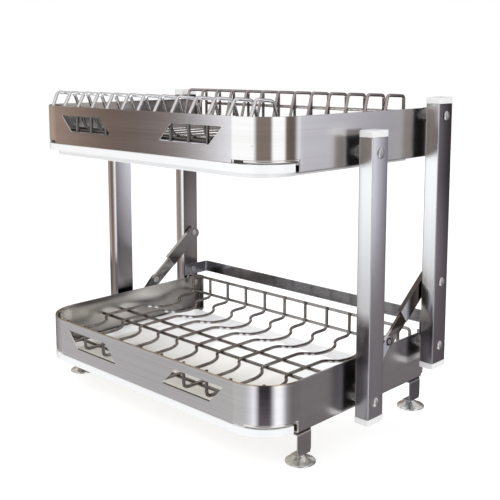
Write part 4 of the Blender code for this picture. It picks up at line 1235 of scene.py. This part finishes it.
studio = {
    "floor": (0.50, 0.50, 0.50), "floorGlow": 1.25, "air": 1.0, "gain": 1.27, "above": (198, 194, 192),
    "lamps": (  # name, place, size and watts
        ("key", (-0.9, -1.6, 1.9), 1.4, 7.0), ("fill", (1.7, -1.0, 1.5), 1.2, 3.5),
        ("between", (0, 0.07, 0.304), 0.20, 1.2),
    ),
    "turn": {  # what steel sees level with the upper tier, by the angle round from the front
        -180: (70, 62, 58), -140: (90, 82, 75), -120: (150, 136, 122), -80: (168, 152, 137),
        -62: (160, 142, 130), -57: (158, 139, 128), -55: (112, 97, 87), -52.5: (98, 84, 77),
        -51: (102, 92, 88), -49: (118, 108, 107), -47.6: (150, 146, 148), -46.5: (214, 213, 218),
        -45.2: (243, 244, 249), -43: (253, 255, 255), 15: (253, 255, 255), 24: (124, 113, 106),
        57: (124, 113, 106), 63: (253, 255, 255), 90: (253, 255, 255), 97: (104, 92, 86),
        114: (98, 86, 80), 120: (110, 102, 100), 127: (190, 189, 194), 133: (226, 227, 234),
        139: (222, 222, 230), 141: (198, 197, 206), 143: (168, 167, 175), 145: (150, 148, 156),
        147: (140, 138, 147), 150: (84, 76, 80), 180: (70, 62, 58),
    },
    "turnLow": {  # what it sees further down
        -180: (70, 64, 60), -130: (80, 74, 70), -90: (140, 136, 136), -57: (176, 174, 176),
        -50: (168, 166, 168), -40: (184, 182, 182), -12: (182, 182, 184), -4: (188, 188, 191),
        4: (203, 204, 208), 12: (226, 226, 231), 17: (236, 236, 242), 24: (186, 186, 194),
        31: (42, 33, 37), 38: (18, 10, 12), 52: (16, 9, 12), 58: (60, 52, 58), 66: (200, 200, 206),
        72: (246, 248, 254), 80: (254, 255, 255), 88: (240, 243, 250), 95: (192, 191, 197),
        103: (138, 135, 140), 111: (118, 115, 117), 120: (106, 103, 104), 134: (112, 108, 108),
        139: (103, 99, 101), 144: (106, 102, 104), 146: (113, 109, 110), 150: (102, 97, 102),
        180: (70, 64, 60),
    },
    "turnLower": {  # where this differs lower still
        31: (110, 104, 112), 38: (116, 110, 118), 52: (112, 106, 114), 58: (130, 126, 132),
    },
    "turnFloor": {  # and what it sees of the table
        -180: (120, 115, 112), -120: (150, 145, 142), -70: (238, 234, 228), 118: (244, 240, 234),
        126: (96, 90, 90), 180: (96, 90, 90),
    },
    "heights": ((-0.27, -0.16), (-0.372, -0.415), (-0.50, -0.68), (0.30, 0.60)),  # where they blend
}


def rampStops(turn):
    return [((angle + 180) / 360, srgb(*colour)) for angle, colour in sorted(turn.items())]  # at most 32 stops


def makeAir():  # white air, and a studio that only the steel and the gloss can see
    world = bpy.data.worlds.new("studioAir")
    bpy.context.scene.world = world
    world.use_nodes = True
    air = Finish("air", world.node_tree)
    way = air.node("ShaderNodeTexCoord", {}, {}, "Generated")
    parts = air.node("ShaderNodeSeparateXYZ", {}, {"Vector": way})
    x, y, z = (Amount(air, parts.socket.node.outputs[axis]) for axis in "XYZ")
    angle = air.node("ShaderNodeMath", {"operation": "ARCTAN2"}, {0: x, 1: 0 - y}) / (2 * math.pi) + 0.5

    def around(turn):
        return air.node("ShaderNodeValToRGB", {"stops": rampStops(turn)}, {"Fac": angle})

    level, low = around(studio["turn"]), around(studio["turnLow"])
    lower = around({**studio["turnLow"], **studio["turnLower"]})
    toLow, toLower, toTable, toAbove = (air.ramp(z, *heights) for heights in studio["heights"])
    seen = air.mix(toLower, air.mix(toLow, low, level), lower)
    seen = air.mix(toTable, seen, around(studio["turnFloor"]))
    seen = air.mix(toAbove, seen, srgb(*studio["above"]))
    seen = air.node("ShaderNodeVectorMath", {"operation": "SCALE"}, {0: seen, "Scale": studio["gain"]})
    rays = air.node("ShaderNodeLightPath", {}, {}, "Is Glossy Ray")
    air.feed(world.node_tree.nodes["Background"].inputs["Color"], air.mix(rays, (studio["air"],) * 3, seen))


def makeFloor():
    letGo()
    bpy.ops.mesh.primitive_plane_add(size=6)
    floor = bpy.context.object
    floor.name = "paleFloor"
    finish = Finish("paleFloor")
    cloud = finish.grain((0.8, 0.8, 0.8), 1.0)
    white = studio["floor"]
    floor.data.materials.append(finish.surface(
        BaseColor=finish.mix(cloud, tuple(c * 0.985 for c in white), white), Roughness=0.9,
        EmissionColor=(*white, 1), EmissionStrength=studio["floorGlow"]))
    floor.visible_glossy = False


def makeLights():
    letGo()
    for name, place, size, watts in studio["lamps"]:
        bpy.ops.object.light_add(type="AREA", location=place)
        lamp = bpy.context.object
        lamp.name = name
        lamp.data.energy = watts
        lamp.data.size = size
        lamp.rotation_euler = (Vector((0, 0, 0.05)) - Vector(place)).to_track_quat("-Z", "Y").to_euler()
        lamp.visible_glossy = False
        lamp.visible_camera = False


cameraSetup = {
    "place": (0.7703, -0.7587, 0.4237), "pitch": 82.21, "turn": 44.02,
    "lens": 61.50, "shift": (-0.0049, -0.1362),
}


def makeCamera():
    letGo()
    bpy.ops.object.camera_add(location=cameraSetup["place"])
    camera = bpy.context.object
    camera.name = "photoCamera"
    camera.rotation_euler = (math.radians(cameraSetup["pitch"]), 0, math.radians(cameraSetup["turn"]))
    camera.data.lens = cameraSetup["lens"]
    camera.data.sensor_width = 36
    camera.data.shift_x, camera.data.shift_y = cameraSetup["shift"]
    camera.data.clip_start = 0.01
    bpy.context.scene.camera = camera
    bpy.context.scene.view_settings.view_transform = "Standard"  # white stays white, as in the photograph


makeAir()
makeFloor()
makeLights()
makeCamera()
print("studio ready")

letGo()
